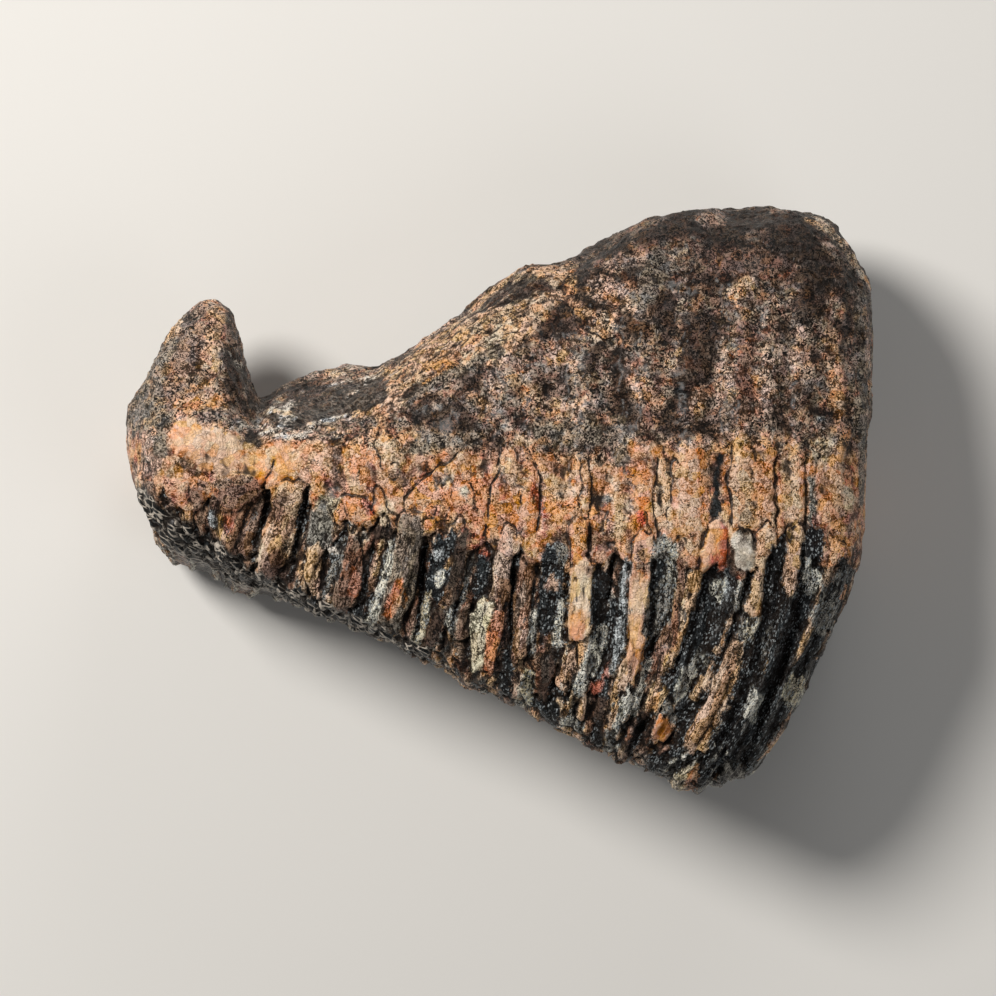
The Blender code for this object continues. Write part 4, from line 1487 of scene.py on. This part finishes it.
@dataclass(frozen=True)
class WaxedFossil:
    """Mammoth cement, enamel and root bone, mineral-stained and lightly waxed.

    The cement is dull and earthy, the enamel black to chalky and glossier, and
    the wax catches small sharp lights on every crest. Its grain is drawn as
    coarse as it needs to be to show, about twice the real one's.
    """

    name: str = "waxed_fossil_cement_and_enamel"
    cement_roughness: float = 0.52
    enamel_roughness: float = 0.34
    ior: float = 1.5
    specular: float = 0.16
    coat: float = 0.12
    coat_roughness: float = 0.25
    # Sizes in millimetres: the height of the relief, flakes and grains
    bump_height: float = 0.85
    flake: float = 2.7
    chip: float = 1.05
    speck: float = 0.6
    dot: float = 0.65
    net: float = 1.6
    shake: float = 1.25
    drift: float = 10 / 3
    push: float = 2.2
    # How far each pattern is drawn out, along each axis
    upright: float = 0.55
    plate_flakes: tuple = (1.0, 0.4, 0.6)
    fibre_run: tuple = (1.0, 0.16, 0.3)
    dot_run: tuple = (1.0, 0.65, 0.6)
    net_run: tuple = (0.3, 1.0, 0.7)
    net_angle: float = 32.0
    swirl_layers: float = 12.0
    # The most that any grain reflects of red light
    brightest: float = 0.84
    # What cold and warm patches of bone do to red, green and blue
    cold_bone: tuple = (0.72, 0.86, 1.08, 1.0)
    warm_bone: tuple = (1.3, 1.02, 0.74, 1.0)

    def build(self) -> bpy.types.Material:
        """Makes the material.

        Returns:
            The material, which reads the tooth's own attributes.
        """
        material = bpy.data.materials.new(self.name)
        material.use_nodes = True
        material.node_tree.nodes.clear()
        add = partial(add_node, material.node_tree)
        at = self.attributes(add)
        for layer in (self.beds, self.noises, self.cells, self.crossings, self.dots, self.strength):
            at |= layer(add, at)
        at["stained"] = self.stained(add, at)
        at["bare"] = self.bare_enamel(add, at)
        base = add("Mix", (at["bare"], self.cement(add, at), self.enamel(add, at)), **MIXED)
        base = self.dirtied(add, at, self.netted(add, at, base))
        shader = add("BsdfPrincipled", {
            "Base Color": base, "Roughness": self.roughness(add, at), "Normal": self.relief(add, at),
            "IOR": self.ior, "Specular IOR Level": self.specular,
            "Coat Weight": self.coat, "Coat Roughness": self.coat_roughness,
        })
        add("OutputMaterial", (shader,))
        return material

    def attributes(self, add: Add) -> Sockets:
        """Reads each point's place in millimetres and the tooth's own attributes.

        Args:
            add: adds a node to the tree.

        Returns:
            Nodes and sockets, by their names.
        """
        stretch = (1 / MM, 1 / MM, self.upright / MM)
        at = {
            "place": add("VectorMath", (add("TexCoord").outputs["Object"], stretch), **TIMES),
            "along": add("Attribute", attribute_name="along").outputs["Vector"],
            "stain": add("Attribute", attribute_name="stain").outputs["Color"],
        }
        for name in ("enamel", "crunch", "lace", "hollow", "seam", "crack", "calm"):
            at[name] = add("Attribute", attribute_name=name).outputs["Fac"]
        return at

    def beds(self, add: Add, at: Sockets) -> Sockets:
        """The places that flakes, fibres and grains are cut on.

        Args:
            add: adds a node to the tree.
            at: nodes and sockets, by their names.

        Returns:
            shaken (small random shifts), bed (shaken a little, long on the crown
            and round on the bone), curled (shaken a lot) and drawn (along plates).
        """
        shaken = add("TexNoise", (at["place"], 1 / self.shake, 1.0)).outputs["Color"]
        bony = add("MapRange", (at["crunch"], 0.2, 0.22), **SOFT)
        stretch = add("Mix", (bony, self.plate_flakes, (1.0, 1.0, self.upright)), data_type="VECTOR")
        bed = add("VectorMath", (at["along"], stretch), **TIMES)
        bed = add("Mix", (0.9, bed, shaken), **SUMMED)
        curled = add("VectorMath", (shaken, (self.push,) * 3, bed), **TIMES_PLUS)
        drawn = add("VectorMath", (at["along"], self.fibre_run), **TIMES)
        return {"shaken": shaken, "bed": bed, "curled": curled, "drawn": drawn}

    def noises(self, add: Add, at: Sockets) -> Sockets:
        """Every soft noise of the finish, by its name.

        Args:
            add: adds a node to the tree.
            at: nodes and sockets, by their names.

        Returns:
            Each noise's node.
        """
        found = {}
        for bed, table in (("place", PLACE_LUMPS), ("drawn", DRAWN_LUMPS), ("curled", CURLED_LUMPS)):
            for name, lumps in table.items():
                layers = (lumps.detail, lumps.roughness, None, lumps.distortion)
                found[name] = add("TexNoise", (at[bed], 1 / lumps.size, *layers))
        return found

    def cells(self, add: Add, at: Sockets) -> Sockets:
        """Chips, flakes and specks with crisp edges, each with values of its own.

        Args:
            add: adds a node to the tree.
            at: nodes and sockets, by their names.

        Returns:
            chip, flake, speck, hue and depth, each from 0 to 1 and its cell's own.
        """
        found = {}
        for name, bed, size in (
            ("chip", "bed", self.chip), ("flake", "bed", self.flake), ("speck", "curled", self.speck),
        ):
            cell = add("TexVoronoi", (at[bed], 1 / size)).outputs["Color"]
            found[name] = add("SeparateColor", (cell,)).outputs
        return {
            "chip": found["chip"]["Red"], "flake": found["flake"]["Green"], "hue": found["flake"]["Red"],
            "depth": found["flake"]["Blue"], "speck": found["speck"]["Blue"],
        }

    def crossings(self, add: Add, at: Sockets) -> Sockets:
        """Thin curls, threads and fissures, where a soft noise crosses its middle.

        Args:
            add: adds a node to the tree.
            at: nodes and sockets, by their names.

        Returns:
            curl, thread and fissure, each 1 in its middle and 0 beside it.
        """
        found = {}
        for name, wide, narrow in (("curl", 0.1, 0.03), ("thread", 0.07, 0.015), ("fissure", 0.035, 0.01)):
            off = add("Math", (add("Math", (at[name], 0.5), **LESS),), operation="ABSOLUTE")
            found[name] = add("MapRange", (off, wide, narrow), **SOFT)
        clear = add("MapRange", (at["mottle"], 0.38, 0.58, 0.25, 1.0), **SOFT)
        found["curl"] = add("Math", (found["curl"], clear), **TIMES)
        return found

    def dots(self, add: Add, at: Sockets) -> Sockets:
        """Painted highlights: small bright glints, a few to a square of enamel.

        Args:
            add: adds a node to the tree.
            at: nodes and sockets, by their names.

        Returns:
            The painted glints, 1 on a glint and 0 beside it.
        """
        spread = add("VectorMath", (at["along"], self.dot_run), **TIMES)
        spread = add("Mix", (0.9, spread, at["shaken"]), **SUMMED)
        dots = add("TexVoronoi", (spread, 1 / self.dot))
        chosen = add("SeparateColor", (dots.outputs["Color"],))
        chosen = add("Math", (at["mottle"], 1.2, chosen), **TIMES_PLUS)
        chosen = add("MapRange", (chosen, 0.98, 1.1), **SOFT)
        near = add("MapRange", (dots, 0.5, 0.3), **SOFT)
        return {"dots": add("Math", (near, chosen), **TIMES)}

    def strength(self, add: Add, at: Sockets) -> Sockets:
        """How strongly each pattern shows in cement and bone.

        Args:
            add: adds a node to the tree.
            at: nodes and sockets, by their names.

        Returns:
            rough (the strength of all of them), and the patterns of GRAIN that
            aren't as strong all over.
        """
        crunch = at["crunch"]
        busy = add("MapRange", (at["patch"], 0.38, 0.6, 0.3, 1.25), **SOFT)
        rough = add("Math", (at["calm"], -0.8, 1.0), **TIMES_PLUS)
        rough = add("Math", (rough, add("MapRange", (crunch, 0.4, 0.9, 1.0, 1.25), **SOFT)), **TIMES)
        sandy = add("Math", (busy, add("MapRange", (crunch, 0.3, 0.9, 0.9, 1.4), **SOFT)), **TIMES)
        sandy = add("Math", (sandy, add("Math", (1.0, at["calm"]), **LESS)), **TIMES)
        spots = add("Math", (at["speck"], 1.6, -5.05), **TIMES_PLUS)
        spots = add("Math", (at["sand"], 8.5, spots), **TIMES_PLUS)
        layer = add("Math", (add("Math", (at["swirl"], self.swirl_layers), **TIMES),), operation="FRACT")
        layer = add("Math", (layer, 0.5), **LESS)
        lines = add("Math", (at["streak"], 0.5), **LESS)
        flecked = add("Math", (at["crumb"], 0.7, at["grit"]), **TIMES_PLUS)
        return {
            "rough": rough,
            "spots": add("Math", (spots, sandy), **TIMES),
            "marble": add("Math", (layer, add("MapRange", (crunch, 0.5, 0.9, 1.0, 0.25), **SOFT)), **TIMES),
            "lines": add("Math", (lines, add("MapRange", (crunch, 0.0, 0.4, 1.0, 0.25), **SOFT)), **TIMES),
            "flecked": add("MapRange", (flecked, 0.95, 1.06), **SOFT),
            "threads": add("Math", (at["thread"], busy), **TIMES),
            "curls": add("Math", (at["curl"], add("Math", (crunch, 0.4), **PLUS)), **TIMES),
        }

    def stained(self, add: Add, at: Sockets) -> bpy.types.Node:
        """The stain, lighter or darker from grain to grain, with painted highlights on crests.

        Args:
            add: adds a node to the tree.
            at: nodes and sockets, by their names.

        Returns:
            The node that gives the varied stain.
        """
        crunch = at["crunch"]
        lift = add("MapRange", (crunch, 0.05, 0.3, -0.04, 0.12), **SOFT)
        drop = add("MapRange", (crunch, 0.45, 0.95, 0.0, -0.5), **SOFT)
        light = add("Math", (lift, drop), **PLUS)
        for name, (middle, weight) in GRAIN.items():
            light = add("Math", (add("Math", (at[name], middle), **LESS), weight, light), **TIMES_PLUS)
        # Painted highlight: crests, which stand above their surroundings, turn lighter
        polish = add("MapRange", (at["hollow"], -0.04, -0.4, 0.0, 0.5), **SOFT)
        light = add("Math", (light, at["rough"], polish), **TIMES_PLUS)
        light = add("Math", (light, 1.2), operation="MINIMUM")

        # Patches of bone turn colder or warmer, and flakes differ a little in hue
        stained = at["stain"]
        for patch, end, change in (("cold", 0.64, self.cold_bone), ("warm", 0.66, self.warm_bone)):
            share = add("Math", (add("MapRange", (at[patch], 0.52, end), **SOFT), crunch), **TIMES)
            stained = add("Mix", (share, stained, change), **FILTERED)
        brightness = add("SeparateColor", (stained,), mode="HSV").outputs["Blue"]
        most = add("Math", (self.brightest, brightness), operation="DIVIDE")
        value = add("Math", (math.e, light), operation="POWER")
        pale = add("MapRange", (light, -1.2, 0.9, 1.2, 0.82), **SOFT)
        depth = add("MapRange", (at["depth"], 0.0, 1.0, 0.82, 1.16), **SOFT)
        return add("HueSaturation", {
            "Hue": add("MapRange", (at["hue"], 0.0, 1.0, 0.492, 0.511), **SOFT),
            "Saturation": add("Math", (pale, depth), **TIMES),
            "Value": add("Math", (value, most), operation="MINIMUM"), "Color": stained,
        })

    def cement(self, add: Add, at: Sockets) -> bpy.types.Node:
        """Stained cement and bone with dark pits.

        Args:
            add: adds a node to the tree.
            at: nodes and sockets, by their names.

        Returns:
            The node that gives the colour.
        """
        pitted = add("Math", (at["grit"], 0.6, at["crumb"]), **TIMES_PLUS)
        pitted = add("MapRange", (pitted, 0.68, 0.56), **SOFT)
        deep = add("MapRange", (at["crunch"], 0.0, 1.0, 0.25, 0.6), **SOFT)
        pitted = add("Math", (pitted, add("Math", (at["rough"], deep), **TIMES)), **TIMES)
        return add("Mix", (pitted, at["stained"], paint_of(Tint.PIT)), **MIXED)

    def bare_enamel(self, add: Add, at: Sockets) -> bpy.types.Node:
        """The share of bare enamel, with ragged edges."""
        ragged = add("Math", (at["crumb"], 0.5, at["enamel"]), **TIMES_PLUS)
        return add("MapRange", (ragged, 0.62, 0.88), **SOFT)

    def enamel(self, add: Add, at: Sockets) -> bpy.types.Node:
        """Black enamel, with chalky patches and streaks that run down the plate.

        Args:
            add: adds a node to the tree.
            at: nodes and sockets, by their names.

        Returns:
            The node that gives the colour.
        """
        chalky = at["fibre"]
        for name, weight in CHALK.items():
            chalky = add("Math", (at[name], weight, chalky), **TIMES_PLUS)
        chalky = add("MapRange", (chalky, 1.57, 1.71), **SOFT)
        return add("Mix", (chalky, paint_of(Tint.BLACK), at["stained"]), **MIXED)

    def netted(self, add: Add, at: Sockets, base: bpy.types.Node) -> bpy.types.Node:
        """The worn band: a net of pale enamel edges on slate.

        Args:
            add: adds a node to the tree.
            at: nodes and sockets, by their names.
            base: the colour so far.

        Returns:
            The node that gives the colour with the net on it.
        """
        angle = math.radians(self.net_angle)
        turned = add("VectorRotate", (at["place"], None, angle), rotation_type="Z_AXIS")
        run = add("VectorMath", (turned, self.net_run), **TIMES)
        drift = add("TexNoise", (at["place"], 1 / self.drift, 0.0)).outputs["Color"]
        run = add("Mix", (1.0, run, drift), **SUMMED)
        edge = add("TexVoronoi", (run, 1 / self.net), feature="DISTANCE_TO_EDGE")
        line = add("MapRange", (edge, 0.12, 0.04), **SOFT)
        line = add("Math", (line, add("MapRange", (at["crumb"], 0.35, 0.55, 0.3), **SOFT)), **TIMES)
        lace = add("Math", (at["crumb"], 0.4, at["lace"]), **TIMES_PLUS)
        lace = add("MapRange", (lace, 0.5, 1.1, 0.0, 0.9), **SOFT)
        return add("Mix", (add("Math", (line, lace), **TIMES), base, paint_of(Tint.FLECK)), **MIXED)

    def dirtied(self, add: Add, at: Sockets, base: bpy.types.Node) -> bpy.types.Node:
        """Painted shade in the hollows, dirt in the seams and cracks, and painted glints.

        Args:
            add: adds a node to the tree.
            at: nodes and sockets, by their names.
            base: the colour so far.

        Returns:
            The node that gives the final colour.
        """
        # Painted shade: hollows darken towards the pit colour, less so on bone
        deep = add("MapRange", (at["hollow"], 0.04, 0.4, 0.0, 0.9), **SOFT)
        less = add("MapRange", (at["crunch"], 0.3, 0.9, 1.0, 0.6), **SOFT)
        # Painted highlights: small bluish-white glints on bare enamel
        dots = add("Math", (add("Math", (at["dots"], 0.85), **TIMES), at["bare"]), **TIMES)
        near_seam = add("Math", (at["grit"], 0.7, at["seam"]), **TIMES_PLUS)
        in_crack = add("Math", (at["grit"], 0.5, at["crack"]), **TIMES_PLUS)
        for share, tint in (
            (add("Math", (deep, less), **TIMES), Tint.PIT),
            (dots, Tint.CHALK_BLUE),
            (add("MapRange", (near_seam, 0.78, 0.45, 0.0, 0.85), **SOFT), Tint.PIT),
            (add("MapRange", (in_crack, 0.7, 0.4, 0.0, 0.95), **SOFT), Tint.PIT),
        ):
            base = add("Mix", (share, base, paint_of(tint)), **MIXED)
        return base

    def roughness(self, add: Add, at: Sockets) -> bpy.types.Node:
        """Dull cement and glossier enamel, both uneven.

        Args:
            add: adds a node to the tree.
            at: nodes and sockets, by their names.

        Returns:
            The node that gives the roughness.
        """
        dull = self.cement_roughness
        glossy = self.enamel_roughness
        cement = add("MapRange", (at["crumb"], 0.3, 0.7, dull - 0.14, dull + 0.16), **SOFT)
        enamel = add("MapRange", (at["grit"], 0.3, 0.7, glossy - 0.1, glossy + 0.16), **SOFT)
        return add("Mix", (at["bare"], cement, enamel))

    def relief(self, add: Add, at: Sockets) -> bpy.types.Node:
        """The fine relief that the mesh is too coarse for.

        Args:
            add: adds a node to the tree.
            at: nodes and sockets, by their names.

        Returns:
            The node that gives the bumped normal.
        """
        fibrous = add("Math", (at["crunch"], -0.6, 0.6), **TIMES_PLUS)
        relief = add("Math", (at["fibre"], fibrous), **TIMES)
        for name, height in RELIEF.items():
            relief = add("Math", (at[name], height, relief), **TIMES_PLUS)
        worn = add("MapRange", (at["lace"], 0.0, 0.9, 1.0, 0.5), **SOFT)
        relief = add("Math", (relief, worn), **TIMES)
        return add("Bump", {"Height": relief, "Strength": 1.0, "Distance": self.bump_height * MM})


@dataclass(frozen=True)
class StudioPaper:
    """Seamless pale paper under the tooth: matt, plain and slightly warm."""

    name: str = "seamless_paper"
    colour: str = "#d9d7d3"
    roughness: float = 0.9

    def build(self) -> bpy.types.Material:
        """Makes the material of the floor.

        Returns:
            The material.
        """
        material = bpy.data.materials.new(self.name)
        material.use_nodes = True
        shader = material.node_tree.nodes["Principled BSDF"]
        shader.inputs["Base Color"].default_value = (*linear(self.colour), 1.0)
        shader.inputs["Roughness"].default_value = self.roughness
        return material


@dataclass(frozen=True)
class SoftLight:
    """A soft box: where it stands and its width, in metres, and its power."""

    name: str
    place: tuple[float, float, float]
    width: float
    power: float
    colour: tuple[float, float, float]


@dataclass
class Studio:
    """Camera, pale floor and plain soft light."""

    picture: Picture = field(default_factory=Picture)
    floor_size: float = 12.0
    lights: tuple = (
        SoftLight("key", (-0.75, 0.55, 1.15), 0.5, 24.0, (1.0, 0.97, 0.93)),
        SoftLight("fill", (0.9, -0.6, 1.0), 0.9, 3.0, (0.97, 0.98, 1.0)),
        SoftLight("back", (0.3, 1.1, 0.5), 0.6, 3.0, (1.0, 1.0, 1.0)),
    )
    sky: float = 0.075

    def build(self) -> None:
        """Makes the camera, the floor, the lights and the sky."""
        self.add_camera()
        self.add_floor()
        for light in self.lights:
            self.add_light(light)
        world = bpy.data.worlds.new("studio")
        bpy.context.scene.world = world
        world.use_nodes = True
        world.node_tree.nodes["Background"].inputs["Color"].default_value = (1.0, 1.0, 1.0, 1.0)
        world.node_tree.nodes["Background"].inputs["Strength"].default_value = self.sky
        bpy.context.scene.view_settings.view_transform = "Standard"

    def add_camera(self) -> None:
        """Looks straight down on the tooth, as the picture does."""
        data = bpy.data.cameras.new("camera")
        data.lens = self.picture.lens()
        data.sensor_width = self.picture.sensor
        camera = bpy.data.objects.new("camera", data)
        camera.location = (0.0, 0.0, self.picture.camera_height * MM)
        bpy.context.scene.collection.objects.link(camera)
        bpy.context.scene.camera = camera

    def add_floor(self) -> None:
        """Lays the paper under the tooth."""
        bpy.ops.object.select_all(action="DESELECT")
        bpy.ops.mesh.primitive_plane_add(size=self.floor_size)
        floor = bpy.context.object
        floor.name = "floor"
        floor.data.materials.append(StudioPaper().build())

    def add_light(self, light: SoftLight) -> None:
        """Hangs one soft box, aimed at the tooth.

        Args:
            light: the soft box.
        """
        data = bpy.data.lights.new(light.name, "AREA")
        data.shape = "DISK"
        data.size = light.width
        data.energy = light.power
        data.color = light.colour
        lamp = bpy.data.objects.new(light.name, data)
        lamp.location = light.place
        lamp.rotation_mode = "QUATERNION"
        lamp.rotation_quaternion = lamp.location.to_track_quat("Z", "Y")
        lamp.visible_camera = False
        bpy.context.scene.collection.objects.link(lamp)


def main() -> None:
    """Builds the studio and the tooth."""
    logging.basicConfig(level=logging.INFO, format="%(name)s: %(message)s")
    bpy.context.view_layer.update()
    Studio().build()
    LOG.info("studio: camera, floor and lights")
    tooth = ToothSkin().build()
    tooth.data.materials.append(WaxedFossil().build())
    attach(tooth, BODY)
    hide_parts(TOOTH_NODE)
    LOG.info("%s: %d vertices", tooth.name, len(tooth.data.vertices))


if __name__ == "__main__":
    main()
